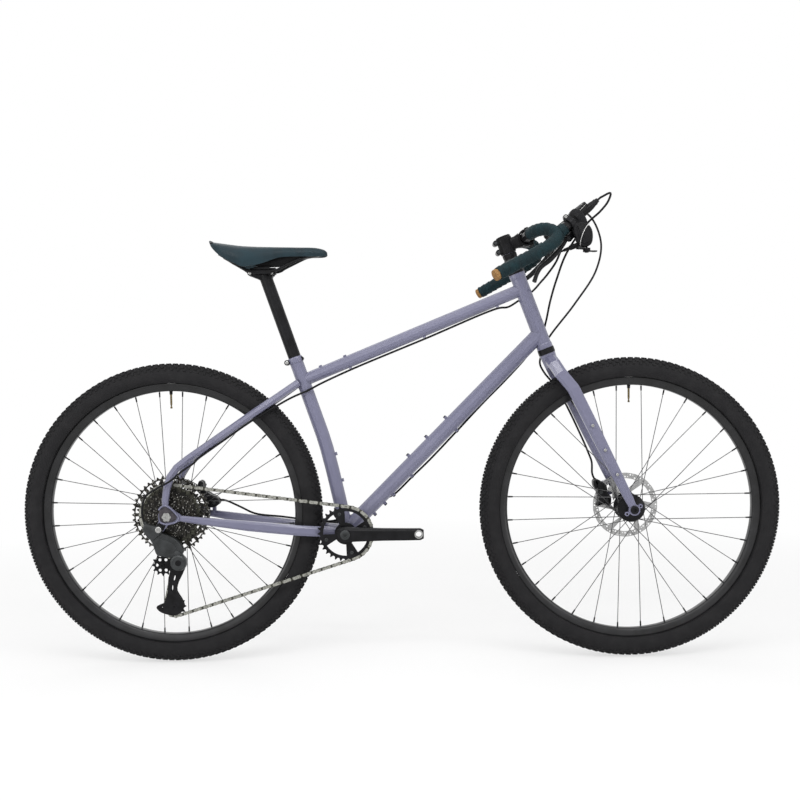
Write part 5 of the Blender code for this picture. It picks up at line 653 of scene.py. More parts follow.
def build_wheel(name, centre, flange_r, flanges, profile):
    """Tyre, rim, crossed spokes with nipples, hub and valve."""
    body = name + "_wheel"
    tyre_shape(centre).finish(name + "_knobbed_tyre", "tyre", body, (name + "_tyre",), smooth=28)
    rim_shape(centre).finish(name + "_hooked_rim", "rim", body, (name + "_rim",))
    spokes = Shape()
    nipples = Shape()
    for index in range(SPOKE_COUNT):
        side = 1 if index % 2 == 0 else -1
        trailing = 1 if index // 2 % 2 == 0 else -1
        rim_angle = TURN * (index + 0.5) / SPOKE_COUNT + pi / 2
        hub_angle = rim_angle + trailing * TURN / (SPOKE_COUNT // 2) * 3 * 0.92
        x, z = polar(flange_r, hub_angle)
        hub = centre + Vector((x, flanges[index % 2] + trailing * 0.0016, z))
        x, z = polar(RIM_BED_R - 0.0002, rim_angle)
        end = centre + Vector((x, side * 0.003 + trailing * 0.001, z))
        along = (end - hub).normalized()
        spokes.rod(hub, end, 0.00095, sides=8)
        spokes.rod(hub, hub + LEFT * trailing * 0.0018, 0.001, 0.0016, sides=8)
        nipples.rod(end - along * 0.0125, end - along * 0.0008, 0.00175, 0.0021, sides=8)
    spokes.finish(name + "_spokes", "spoke", body)
    nipples.finish(name + "_nipples", "black", body)
    hub = Shape().lathe(profile, centre, steps=72)
    hub.finish(name + "_hub_shell", "black", body, (name + "_hub",), smooth=30)
    foot = centre + UP * (RIM_BED_R + 0.001)
    nut = Shape().rod(foot, foot - UP * 0.009, 0.0042, 0.0036, sides=18)
    nut.finish(name + "_valve_nut", "black", body)
    stem = Shape().rod(foot, foot - UP * 0.034, 0.0026)
    stem.rod(foot - UP * 0.034, foot - UP * 0.04, 0.0018, sides=12)
    stem.rod(foot - UP * 0.039, foot - UP * 0.043, 0.0026, bevel=0.0006, sides=12)
    stem.finish(name + "_valve_stem", "brass", body)


def build_rotor(name, centre, y):
    """Drilled brake ring on six leaning arms round a splined centre."""
    outer, inner, core, waves = 0.08, 0.0662, 0.024, 18
    edge = [polar(outer - 0.0003 * (1 + cos(a * waves)), a)
            for a in (TURN * i / 144 for i in range(144))]
    sector = TURN / 6
    holes = []
    for index in range(6):
        holes.append([polar(inner, (index + share) * sector)
                      for share in (0.06, 0.25, 0.45, 0.65, 0.84)]
                     + [polar(core, (index + share) * sector) for share in (1.39, 1, 0.61)])
    for index in range(36):
        angle = TURN * index / 36
        radius = 0.07 if index % 2 else 0.0757
        holes.append(circle(polar(radius, angle), 0.0021, 10))
        holes.append(circle(polar(0.1459 - radius, angle + 0.087), 0.0013, 8))
    holes.append(circle((0, 0), 0.0172, 36))
    shape = Shape().plate(edge, y - 0.0009, y + 0.0009, holes, centre)
    shape.finish(name + "_drilled_rotor", name + "_rotor", name + "_wheel", (name + "_rotor",))
    profile = [(r, y + rise) for r, rise in mm((15, 1), (20.5, 1), (20.5, 3.4), (19.5, 4.2),
                                               (15, 4.2))]
    lock = Shape().lathe(profile, centre, steps=48)
    for px, pz in circle((0, 0), 0.0208, 6):
        lock.spindle(centre + Vector((px, y, pz)), 0.001, 0.0026, 0.0026, sides=14)
    lock.finish(name + "_lockring", "black", name + "_wheel")


# Sprockets, chainring and chain

ROOT = 0.0034
TOOTH = (
    # share of half a pitch, share of the root's depth, share of the rise
    (-0.98, -1, 0), (-0.62, -0.86, 0), (-0.36, -0.1, 0), (-0.14, 0, 0.9),
    (0.06, 0, 1), (0.18, 0, 0.8), (0.38, -0.1, 0), (0.64, -0.86, 0),
)


def pitch_radius(teeth):
    return CHAIN_PITCH / (2 * sin(pi / teeth))


def tooth_outline(teeth, rise=0.0024, root=ROOT):
    """Outline of a chain wheel with round roots and narrow blunt teeth."""
    return [polar(pitch_radius(teeth) + root * depth + rise * height,
                  TURN * (index + turn / 2) / teeth)
            for index in range(teeth) for turn, depth, height in TOOTH]


def build_cassette():
    half_thick = 0.0008
    shape = Shape()
    driven = Shape()
    for index, teeth in enumerate(SPROCKET_TEETH):
        y = BIG_SPROCKET_Y - index * SPROCKET_STEP
        root = pitch_radius(teeth) - ROOT
        holes = [circle((0, 0), 0.0162, 24)]
        smaller = pitch_radius(SPROCKET_TEETH[min(index + 1, 10)])
        if index < 6:
            arms = 6 if index > 1 else 8
            holes += windows(arms, TURN * 0.13 * index / arms, 0.0215,
                             min(smaller, root) - 0.008, 0.14, 0.86)
        if index < 2:
            holes += windows(20 if index else 24, 0, smaller - 0.0042, root - 0.003,
                             0.18, 0.8, 3)
        (driven if index == 2 else shape).plate(tooth_outline(teeth), y - half_thick,
                                                y + half_thick, holes, REAR_AXLE)
    shape.lathe(mm((16.2, -28.5), (21.2, -28.5), (21.2, -66), (16.2, -66)), REAR_AXLE, steps=48)
    shape.finish("toothed_sprockets", "sprocket", "cassette", ("cassette",), smooth=20)
    driven.finish("driven_sprocket", "dark_chain", "cassette", smooth=20)
    lock = Shape().lathe(mm((9, -69.4), (19.6, -69.4), (20.4, -68.6), (20.4, -66), (9, -66)),
                         REAR_AXLE, steps=48)
    lock.finish("sprocket_lockring", "black", "cassette")


def build_chainring():
    arms, first = 4, 0.3
    root = pitch_radius(32) - ROOT
    low = CHAINRING_Y - 0.0016
    holes = [circle((0, 0), 0.019, 32),
             *windows(arms, first, 0.0265, root - 0.0075, 0.17, 0.83)]
    shape = Shape().plate(tooth_outline(32, 0.003, 0.0036), low, CHAINRING_Y + 0.0016, holes, BB)
    shape.finish("toothed_chainring", "black", "crankset", ("chainring",), smooth=20)
    bolts = Shape()
    for arm in range(arms):
        px, pz = polar(root - 0.013, TURN * arm / arms + first)
        bolts.bolt(BB + Vector((px, low, pz)), -LEFT, 0.0042, 0.0016)
    bolts.finish("chainring_bolts", "grey", "crankset")


def chain_track():
    """Pitch line of the chain as places with outward normals."""
    wheels = ((BB, 32, 1, CHAINRING_Y), (REAR_AXLE, 36, 1, CHAIN_Y),
              (GUIDE_PULLEY, 12, -1, CHAIN_Y), (TENSION_PULLEY, 12, 1, CHAIN_Y))
    headings = []
    for (here, teeth, sense, _), (after, more, next_sense, _) in zip(wheels,
                                                                     wheels[1:] + wheels[:1]):
        span = Vector((after.x - here.x, after.z - here.z))
        drop = sense * pitch_radius(teeth) - next_sense * pitch_radius(more)
        headings.append(atan2(span.y, span.x) + asin(drop / span.length))
    track = []
    for index, (centre, teeth, sense, y) in enumerate(wheels):
        start = headings[index - 1] - sense * pi / 2
        end = headings[index] - sense * pi / 2
        while sense * (end - start) < 0:
            end += sense * TURN
        for step in range(33):
            angle = start + (end - start) * step / 32
            out = Vector((cos(angle), 0, sin(angle)))
            track.append((Vector((centre.x, y, centre.z)) + out * pitch_radius(teeth),
                          out * sense))
    return track


def build_chain():
    """Rollers with inner and outer plates, link by link round the whole loop."""
    track = chain_track()
    track.append(track[0])
    lengths = run_lengths([place for place, _ in track])
    count = 2 * round(lengths[-1] / CHAIN_PITCH / 2)
    joints = []
    segment = 0
    for index in range(count):
        target = lengths[-1] * index / count
        while lengths[segment + 1] < target:
            segment += 1
        span = lengths[segment + 1] - lengths[segment]
        share = (target - lengths[segment]) / span if span else 0
        joints.append(track[segment][0].lerp(track[segment + 1][0], share))
    outer, inner, rollers = Shape(), Shape(), Shape()
    half_height = 0.0043
    for index, here in enumerate(joints):
        after = joints[(index + 1) % count]
        along = (after - here).normalized()
        across = (LEFT - along * LEFT.dot(along)).normalized()
        outline = []
        half = (after - here).length / 2
        for x, z in circle((0, 0), 1, 20):
            waist = 0.72 if abs(x) < 0.2 else 1
            outline.append((half * copysign(1, x) + half_height * x,
                            half_height * z * waist))
        plates, offset = (inner, 0.0015) if index % 2 else (outer, 0.00235)
        for middle in (-offset, offset):
            plates.plate(outline, middle - 0.0004, middle + 0.0004, (), here.lerp(after, 0.5),
                         (along, across.cross(along), across))
        rollers.pin(here, across, 0.0011, 0.0038, sides=12)
        rollers.pin(here, across, 0.0029, 0.0018, sides=10)
    outer.finish("chain_plates", "chain", "frame", ("chain",), smooth=25)
    inner.finish("chain_inner_plates", "dark_chain", "frame", smooth=25)
    rollers.finish("chain_rollers", "chain", "frame", smooth=25)


def build_pulleys():
    for name, centre in (("guide_pulley", GUIDE_PULLEY), ("tension_pulley", TENSION_PULLEY)):
        holes = [circle(place, 0.0038, 14) for place in circle((0, 0), 0.0145, 6)]
        holes.insert(0, circle((0, 0), 0.0034, 16))
        shape = Shape().plate(tooth_outline(12, 0.0026, 0.0036), -0.001, 0.001, holes, centre)
        shape.lathe(sleeve(3.4, 8.5, -3, 3, 0.7, 0.8), centre, steps=32)
        shape.finish(name + "_wheel", "plastic", name, (name,), smooth=22)


# Hoses and shift housing


def hose(points, start_aim, end_aim):
    """Round hose on a smooth route whose ends lie square in what holds them."""
    first = points[0] + start_aim * HOSE_LEAD
    last = points[-1] + end_aim * HOSE_LEAD
    path = [points[0] - start_aim * 0.002, *spline([first, *points[1:-1], last]),
            points[-1] - end_aim * 0.002]
    return Shape().tube(path, HOSE_R)


def build_hoses():
    rear = [
        MASTER_FRONT,
        *places(bar_point, (179, -129, 83), (174, -128.5, 65), (156.7, -126, 43),
                (126, -116, 15), (83, -101, -48), (64.5, -70, -104), (55, -25, -154)),
        *places(on_axis, (495, 25.5, 4), (474, 12, 24)),
        # the last two numbers of these rows are thousandths
        *places(on_down_tube, (640, 900, 550), (605, 620, 790), (535, 440, 900),
                (460, 440, 900), (363, 360, 1000), (266, 340, 1080), (207, 360, 1020),
                (143, 450, 950), (122, 950, 620), (95, 1150, 50)),
        *places(around(BB), (30, 24, 42), (0, 25, 30)),
        *places(spot, (-181.5, 32.5, 335.2), (-211.5, 38.8, 337.6), (-251.5, 45, 341.1),
                (-296.5, 50.5, 346.6), (-366.5, 59, 354.6), (-401.5, 62.5, 370.5)),
        REAR_HOSE_END + Vector((0.02, 0.001, -0.0045)), REAR_HOSE_END,
    ]
    hose(rear, MASTER_AIM, (REAR_HOSE_END - REAR_CALIPER).normalized()).finish(
        "rear_hose_run", "plastic", "frame", ("rear_brake_hose",),
        blend=("steering", "frame", (0.392, -0.101, 0.972), (0.3575, 0.004, 0.82)))
    left_port, left_aim = mirrored([MASTER_FRONT, MASTER_AIM])
    front = [
        left_port,
        *places(bar_point, (171.5, 131, 77), (190, 130, 56), (206, 123, 0), (188, 100, -70),
                (128, 64, -155)),
        *places(on_axis, (452, 18, 34), (428, -4, 40), (405, -19, 45), (380, -17, 49)),
        *places(spot, (384.78, 51.26, 664.68), (410.83, 55.05, 621.05), (445.65, 57.67, 549.05),
                (469.05, 59.25, 495.26), (477, 58.88, 472.36)),
        FRONT_HOSE_END + HEAD_UP * 0.016, FRONT_HOSE_END,
    ]
    hose(front, left_aim, (FRONT_HOSE_END - FRONT_CALIPER).normalized()).finish(
        "front_hose_run", "plastic", "steering", ("front_brake_hose",))
    shift = [
        SHIFT_PORT,
        *places(bar_point, (56, -115, -70), (40.7, -80, -95)),
        *places(on_axis, (586, 40, -40), (577, 26.2, 1), (572, 13, 23.5), (567, -13, 23.5)),
        bar_point(-0.043, 0.006, -0.1635),
        *places(spot, (240.66, -6, 852.71), (63.28, -6, 781.88), (-116.89, -6, 709.94)),
        *places(around(TOP_TUBE_REAR), (42, -19.5, -9), (13, -21.2, -24), (-25, -25, -40),
                (-60, -33, -59)),
        *places(spot, (-357.27, -46.64, 588.74), (-418.07, -55, 547.24),
                (-478.87, -63.36, 505.74)),
        *places(at_rear, (66.5, -80, 127), (41.5, -88, 110), (11.5, -92, 86), (-22, -94, 68),
                (-47, -94, 50), (-56, -92, 15)),
        HOUSING_END,
    ]
    hose(shift, (SHIFT_PORT - POD_INNER).normalized(), HOUSING_RUN.normalized()).finish(
        "shift_housing_run", "plastic", "frame", ("shift_housing",),
        blend=("steering", "frame", (0.3787, -0.1405, 0.9728), (0.3187, 0.0235, 0.8877)))


# Handlebar tape and end plugs


def wound(shape, path, radius, hand):
    """Tape wound in overlapping turns round a path."""
    total = run_lengths(path)[-1]
    rings = []
    for share, place, _, side, other in carried_frames(path):
        def swell(angle):
            lap = (share * total / TAPE_PITCH + hand * angle / TURN) % 1
            height = lap / 0.09 if lap < 0.09 else 1 - (lap - 0.09) / 0.91 * 0.62
            return radius - TAPE_LAP * (1 - min(height, (1 - lap) / 0.09))
        rings.append(ring(place, side, other, swell, 32))
    return shape.loft(rings)


def build_tapes():
    route = places(bar_point, (3, -75, 1.5), (13, -105, 4), (30, -133, 3), (46, -154, -6),
                   (52, -168, -18), (41, -184, -34), (3, -206, -58), (-42, -226, -82),
                   (-90, -244, -108))
    cork_profile = mm((0, -2), (12.2, -2), (12.6, 1), (12.8, 7), (12.2, 9), (9.8, 10.3),
                      (5, 10.8), (0, 10.8))
    band = mm((11.2, 0), (14.7, 0), (14.6, 2.8), (13.8, 3.4), (11.2, 3.4))
    for name, flip, hand in (("right", list, 1), ("left", mirrored, -1)):
        path = flip(spline(route, 0.0016))
        stub = flip([STUB_FOOT.lerp(STUB_TIP, 0.36 * i / 14) for i in range(15)])
        shape = wound(Shape(), path, TAPE_R, hand)
        wound(shape, stub, TAPE_R - 0.0004, hand)
        shape.finish(name + "_wound_tape", "tape", "steering", (name + "_tape",), smooth=45)
        cut = Shape().lathe(band, path[0], (path[0] - path[1]).normalized(), 32)
        cut.finish(name + "_tape_finish", "plastic", "steering")
        plug = Shape().lathe(cork_profile, path[-1], (path[-1] - path[-2]).normalized(), 40)
        plug.finish(name + "_cork_plug", "cork", "steering", (name + "_end_plug",))


# Saddle

SADDLE_ROWS = mm(
    # ahead, crown, half width, edge height
    (-122.5, 70.6, 38, 66), (-112, 67.4, 60, 49), (-90, 64, 76, 28.5), (-56, 59.4, 78, 10.5),
    (-36.5, 58, 71.5, 4), (2, 56.5, 51, 13), (42, 55.7, 32, 28.5), (85, 54.8, 22.5, 31.2),
    (125, 53.5, 18.5, 31.2), (148, 48.5, 14, 31.6), (156, 42, 8, 34.5))


def saddle_point(share, turn, inset=0):
    """Point of the cover at a share of its length and a turn of -1 to 1 across it."""
    last = len(SADDLE_ROWS) - 1
    along = min(share * last, last - 0.0001)
    index = int(along)
    rows = [SADDLE_ROWS[min(max(index + k, 0), last)] for k in (-1, 0, 1, 2)]
    ahead, crown, width, edge = between(rows, along - index)
    s = sin(turn * pi / 2)
    c = max(cos(turn * pi / 2), 0)
    y = copysign(abs(s) ** 0.8, s) * (width - inset)
    z = edge + (crown - inset - edge) * c ** 0.6
    return CLAMP_CENTRE + Vector((ahead, y, z))


def build_saddle():
    steps, across, thick = 72, 40, 0.0038
    turns = [2 * j / across - 1 for j in range(across + 1)]
    shape = Shape().loft([
        [saddle_point(i / steps, turn) for turn in turns]
        + [saddle_point(i / steps, turn, thick) for turn in reversed(turns)]
        for i in range(steps + 1)])
    bmesh.ops.remove_doubles(shape.bm, verts=shape.bm.verts, dist=0.00001)
    shape.finish("saddle_skin", "saddle", "saddle", ("saddle_cover",), smooth=60)
    rivets = Shape()
    for share, turn in ((0.045, 0.36), (0.045, -0.36), (0.085, 0.66), (0.085, -0.66)):
        place = saddle_point(share, turn)
        ahead = saddle_point(share + 0.01, turn) - place
        aside = saddle_point(share, turn + 0.02) - place
        out = ahead.cross(aside).normalized()
        if out.z < 0:
            out = -out
        rivets.rod(place - out * 0.001, place + out * 0.0011, 0.0044, bevel=0.0008, sides=20)
    rivets.finish("saddle_rivets", "black", "saddle")
    rings = []
    for index in range(25):
        turn = -0.86 + 1.72 * index / 24
        outer, inner = (saddle_point(0.055, turn, inset) for inset in (0.0046, 0.0066))
        shift = Vector((0.02, 0, -0.01))
        rings.append([outer, outer + shift, inner + shift, inner])
    Shape().loft(rings).finish("saddle_back_plate", "black", "saddle")
    rails = Shape()
    route = mm((120, 9, 35), (104, 11.5, 31), (76, 16.5, 19), (50, 20.5, 7), (37, 22, 0),
               (-37, 22, 0), (-48, 24, 6.5), (-62, 27, 15), (-82, 33, 27.5), (-100, 38, 38))
    for side in (-1, 1):
        rails.tube(spline([CLAMP_CENTRE + Vector((x, side * y, z)) for x, y, z in route]),
                   0.0035, sides=14)
    rails.block(CLAMP_CENTRE + Vector((0.118, 0, 0.035)), (0.022, 0.025, 0.006), taper=0.9)
    rails.tube([saddle_point(0.17, -0.74 + 1.48 * index / 16, 0.0118) for index in range(17)],
               0.0036)
    rails.pebble(curved(3, (-25, 42), (-20, 15), (-5, 9.5), (22, 9), (46, 9.5), (62, 15),
                        (82.3, 23.8), (111, 28.5), (140, 33), (144, 41), (120, 45), (30, 46)),
                 -0.008, 0.008, 0.0015, CLAMP_CENTRE)
    rails.finish("saddle_frame", "black", "saddle", ("saddle_rails",))
    yoke = Shape()
    ends = Shape()
    for ahead in (-0.03, 0.022):
        place = CLAMP_CENTRE + Vector((ahead, 0, -0.006))
        yoke.pin(place, LEFT, 0.016, 0.0064, bevel=0.0008, sides=24)
        ends.bolts(place, LEFT, 0.016, 0.0042, 0.0012)
    yoke.pebble(curved(4, (-32, -3), (-30, -12), (-12, -20), (6, -29), (16, -28), (25, -12),
                       (24, -3), (0, -1)), -0.012, 0.012, 0.003, CLAMP_CENTRE)
    yoke.finish("seatpost_yoke", "black", "seatpost")
    ends.finish("seatpost_yoke_bolts", "steel", "seatpost")


# Bolts, caps and other small fittings


def build_eyelets():
    """Round threaded eyelets at both ends of the ears on the fork ends, with painted shade: a
    black rod that darkens each bore.
    """
    profile = mm((2.4, 56.4), (4.8, 56.4), (5.2, 56.8), (5.2, 62.8), (4.7, 63.3), (2.4, 63.3))
    middle = FRONT_AXLE + Vector((-0.0016, 0, -0.0004))
    reach = -leaning(-30) * 0.0185
    for side, label in ((-1, "right"), (1, "left")):
        rings = Shape()
        bore_shade = Shape()
        for centre in (middle + reach, middle - reach):
            rings.lathe([(r, y * side) for r, y in profile], centre, steps=32)
            # painted shade: a black rod fills each threaded bore so the hole reads dark
            bore_shade.spindle(centre, side * 0.056, side * 0.063, 0.0025)
        rings.finish(label + "_fork_eyelets", "paint", "steering")
        bore_shade.finish(label + "_fork_eyelet_bore_shade", "plastic", "steering")


def build_boss_bolts():
    bolts = Shape()
    for out, sites in ((-DOWN_NORMAL, (0.077, 0.113, 0.143, 0.207, 0.363)),
                       (DOWN_NORMAL, (0.237, 0.3, 0.366))):
        for along in sites:
            bolts.bolt(BB + DOWN_DIR * along + out * DOWN_BOSS_REACH, out, 0.0038, 0.0022)
    bolts.finish("frame_boss_bolts", "black", "frame")
    leg = Shape()
    for along, ahead, side in mm((225, 29.9, 57.5), (160, 36.3, 58.8), (95.5, 42.5, 60.8)):
        leg.bolts(on_axis(along, ahead), LEFT, side + 0.0118, 0.0036, 0.002)
    leg.finish("fork_boss_bolts", "steel", "steering")


def build_seat_clamp():
    """Painted collar with a dark barrel and bolt behind and a dark nub ahead."""
    collar = Shape().lathe(sleeve(15, 18, 434.5, 448.5, 0.6, 1), SEAT_FOOT, SEAT_UP, 56)
    collar.finish("seat_collar", "paint", "frame", ("seat_clamp",))
    rear, front = places(spot, (-271.5, 0, 728.4), (-237, 0, 738.4))
    barrels = Shape().pin(rear, LEFT, 0.0115, 0.0066, bevel=0.0008, sides=24)
    barrels.pin(front, LEFT, 0.009, 0.0058, bevel=0.001, sides=24)
    barrels.finish("seat_collar_barrels", "black", "frame")
    bolts = Shape().bolts(rear, LEFT, 0.0115, 0.0042, 0.0012)
    bolts.finish("seat_collar_bolt", "steel", "frame")


def build_stem():
    """Stem with a turned clamp, drawn-in neck, round ears and small silver bolts."""
    body = Shape()
    body.lathe(sleeve(14.5, 19, 680, 719, 1, 1.2), AXIS_FOOT, HEAD_UP, 64)
    body.lathe(sleeve(16.1, 20.4, -22.8, 22.8, 0.6, 0.8), BAR_CENTRE, LEFT, 64)
    neck = mm((10, 16.5, 15), (17, 15, 13.8), (24, 14.8, 14), (31, 16.5, 17.5), (35, 18, 21.5))
    body.loft([[on_axis(0.699 + z * high, ahead, y * wide) for y, z in squared(0.55, 32)]
               for ahead, high, wide in neck])
    silver = Shape()
    for along, ahead in ((0.7135, -0.0222), (0.6905, -0.0232)):
        ear = on_axis(along, ahead)
        body.pin(ear, LEFT, 0.013, 0.0067, bevel=0.001, sides=28)
        body.block(on_axis(along, ahead + 0.0055), (0.013, 0.025, 0.011),
                   (HEAD_AHEAD, LEFT, HEAD_UP))
        silver.bolts(ear, LEFT, 0.013, 0.0036, 0.0006, 0.7)
    body.finish("turned_stem", "black", "steering", ("stem",))
    for side in (-0.0155, 0.0155):
        for rise in (-0.019, 0.019):
            place = BAR_CENTRE + HEAD_UP * rise + LEFT * side + HEAD_AHEAD * 0.0112
            silver.bolt(place, HEAD_AHEAD, 0.0038, 0.001)
    silver.finish("stem_bolts", "grey", "steering")
    cap = Shape().bolt(on_axis(0.7215), HEAD_UP, 0.005, 0.003)
    cap.finish("cap_bolt", "grey", "steering")
    band = Shape().lathe(mm((15, 660.5), (17.7, 660.5), (17.7, 665.5), (15, 665.5)), AXIS_FOOT,
                         HEAD_UP, 56)
    band.finish("light_spacer", "grey", "steering")


def build_axle_ends():
    """Lobed rear axle head, front axle caps, crank bolts and the hanger bolt."""
    lobed = [polar(0.0102 + 0.0009 * cos(6 * a), a)
             for a in (TURN * i / 72 for i in range(72))]
    head = Shape().plate(lobed, -0.0868, -0.0822, [circle((0, 0), 0.0044, 24)], REAR_AXLE)
    head.spindle(REAR_AXLE, -0.0822, -0.0846, 0.005)
    head.finish("rear_axle_head", "steel", "frame")
    front = Shape().bolts(FRONT_AXLE, LEFT, 0.064, 0.01, 0.0042, 0.42)
    front.finish("front_axle_caps", "black", "steering")
    cranks = Shape().bolts(BB, LEFT, 0.0778, 0.0115, 0.0046, 0.42)
    cranks.finish("crank_bolts", "grey", "crankset")
    eyes = Shape()
    for x, y in ((0.175, -0.0775), (-0.175, 0.0775)):
        eyes.lathe(sleeve(7.2, 10.2, -6.8, 6.8, 0.4, 0.4), BB + Vector((x, y, 0)), LEFT, 40)
    eyes.finish("pedal_eye_rings", "steel", "crankset")
    hanger = Shape().bolt(Vector((-0.5742, -0.0945, 0.3373)), -LEFT, 0.0072, 0.003, 0.45)
    hanger.finish("hanger_bolt_head", "steel", "frame")


def caliper(half, bridge, bridge_y, middle, reach, centre, hose_end, sites, height):
    """Two halves beside a rotor with their bridge and hose union, and their bolts."""
    body = Shape()
    body.pebble(half, middle - reach, centre.y - HALF_SLOT, 0.0035)
    body.pebble(half, centre.y + HALF_SLOT, middle + reach, 0.0035)
    body.pebble(bridge, *bridge_y, 0.003)
    body.rod(hose_end.lerp(centre, 0.35), hose_end, 0.005, 0.0044, 18)
    bolts = Shape()
    for x, z in mm(*sites):
        bolts.bolts(Vector((x, middle, z)), LEFT, reach, 0.0042, height)
    return body, bolts


def build_calipers():
    """Brake calipers on both sides of the rotors, and the front one's adaptor."""
    front, front_bolts = caliper(
        curved(3, (486, 413), (488, 424), (498, 425), (508.5, 414), (511, 396), (519, 389),
               (518.5, 368), (513, 364), (506, 370), (495, 368), (484, 365), (488, 376),
               (488, 386), (486, 400)),
        curved(3, (476.5, 419), (478, 429), (488, 430), (489, 413), (481, 408)),
        (0.03, 0.06), 0.0435, 0.019, FRONT_CALIPER, FRONT_HOSE_END,
        ((494, 399), (508, 379)), 0.0014)
    front.spindle(Vector((0.488, 0, 0.424)), 0.03, 0.056, 0.0062, bevel=0.0008, sides=24)
    front.finish("front_caliper_halves", "black", "steering", ("front_caliper",))
    adaptor = Shape().pebble(
        curved(3, (522.1, 413.8), (533.5, 417.4), (543.6, 408.4), (555, 387.8), (552.4, 381.5),
               (532.2, 381.8), (528, 377), (523.3, 398.5), (514.5, 398.6), (515.7, 408.8)),
        0.045, 0.0482, 0.0006)
    adaptor.finish("front_caliper_adaptor", "pale", "steering")
    rear, rear_bolts = caliper(
        curved(3, (-500.3, 440), (-491, 435), (-488, 418), (-470, 404), (-454, 393),
               (-452.5, 382), (-463.9, 374), (-478, 374), (-493, 390), (-505, 425)),
        curved(3, (-476, 406), (-456, 396), (-452, 382), (-462, 379), (-470, 388)),
        (0.04, 0.071), 0.0555, 0.018, REAR_CALIPER, REAR_HOSE_END,
        ((-465, 385), (-493, 427)), 0.0016)
    rear.finish("rear_caliper_halves", "black", "frame", ("rear_caliper",))
    rear_bolts.finish("rear_caliper_bolts", "grey", "frame")
    front_bolts.finish("front_caliper_bolts", "grey", "steering")


# Brake and shift controls


def build_brake_controls():
    """Master cylinders with reservoirs, clamps and the fork that holds each lever."""
    over = MASTER_AIM.cross(LEFT)
    lean = radians(24)
    lid = over * cos(lean) - LEFT * sin(lean)
    aside = lid.cross(MASTER_AIM)
    body = Shape().lathe(
        mm((0, -5), (6, -5), (8.6, -2.5), (9.4, 3), (9.4, 56), (8.6, 66), (7.2, 72), (7.2, 78),
           (6, 79), (5.2, 84.4), (0, 84.4)), MASTER_REAR, MASTER_AIM, 40)
    tank = curved(3, (-4, -8.5), (-5, 8.5), (6, 11), (32, 10.5), (54, 7), (59, 0), (54, -7),
                  (32, -10.5), (6, -11))
    axes = (MASTER_AIM, aside, lid)
    body.pebble(tank, 0.001, 0.014, 0.002, MASTER_REAR, axes)
    body.pebble(shrunk(tank, 0.0008), 0.0146, 0.018, 0.001, MASTER_REAR, axes)
    clamp = STUB_FOOT.lerp(STUB_TIP, 0.62)
    body.lathe(sleeve(11.3, 16.4, -6.5, 6.5, 0.8, 1), clamp, STUB_AIM, 48)
    ear = clamp + over * 0.0175
    body.pin(ear, LEFT, 0.006, 0.0056, bevel=0.0008, sides=20)
    body.block(clamp.lerp(MASTER_REAR, 0.55), (0.015, 0.026, 0.013),
               (MASTER_AIM, LEFT, over), taper=0.8)
    body.rod(MASTER_REAR + MASTER_AIM * 0.006, LEVER_PIVOT - BLADE_AIM * 0.011, 0.008, 0.0084,
             20)
    for out in (-LEVER_AXIS, LEVER_AXIS):
        body.rod(LEVER_PIVOT + out * 0.0054, LEVER_PIVOT + out * 0.0098, 0.0082, bevel=0.001,
                 sides=28)
        body.block(LEVER_PIVOT - BLADE_AIM * 0.0075 + out * 0.0076, (0.0044, 0.015, 0.015),
                   (LEVER_AXIS, BLADE_AIM, LEVER_AXIS.cross(BLADE_AIM)))
    both_sides(body, "_master_cylinder", "black", replaced="_brake_body")
    seam = Shape().pebble(shrunk(tank, -0.0004), 0.0138, 0.0148, 0.0002, MASTER_REAR, axes)
    for along, across in mm((3, -7), (3, 7), (25, -7.5), (25, 7.5), (48, 0)):
        foot = MASTER_REAR + MASTER_AIM * along + aside * across + lid * 0.0178
        seam.bolt(foot, lid, 0.0022, 0.001)
    seam.bolt(ear - LEFT * 0.006, -LEFT, 0.0034, 0.0014)
    both_sides(seam, "_reservoir_seam", "steel")
    pin = Shape().bolts(LEVER_PIVOT, LEVER_AXIS, 0.0098, 0.004, 0.001)
    both_sides(pin, "_lever_pin", "grey")


def build_brake_levers():
    """Curved lever blades with a hooked tip."""
    route = places(bar_point, (63.5, -151.5, -35.6), (31.5, -170, -67.6), (5.5, -189, -90.6))
    bends = [p - LEVER_AXIS * LEVER_AXIS.dot(p - LEVER_PIVOT) for p in route]
    path = spline([LEVER_PIVOT + BLADE_AIM * 0.002, *bends, LEVER_TIP], 0.003)
    rings = []
    for share, place, along, _, _ in carried_frames(path):
        grip = LEVER_AXIS.cross(along).normalized()
        wide = 0.0046 + 0.0016 * sin(pi * min(share * 1.1, 1))
        thick = 0.0036 + 0.002 * sin(pi * share) + 0.012 * max(0, share - 0.9)
        centre = place - grip * (thick - 0.0033)
        rings.append([centre + LEVER_AXIS * (u * wide) + grip * (v * thick)
                      for u, v in squared(0.75, 20)])
    lever = Shape().loft(rings)
    lever.pin(LEVER_PIVOT, LEVER_AXIS, 0.005, 0.0064, sides=28)
    both_sides(lever, "_lever_blade", "black", "_brake_lever", "_brake_lever")


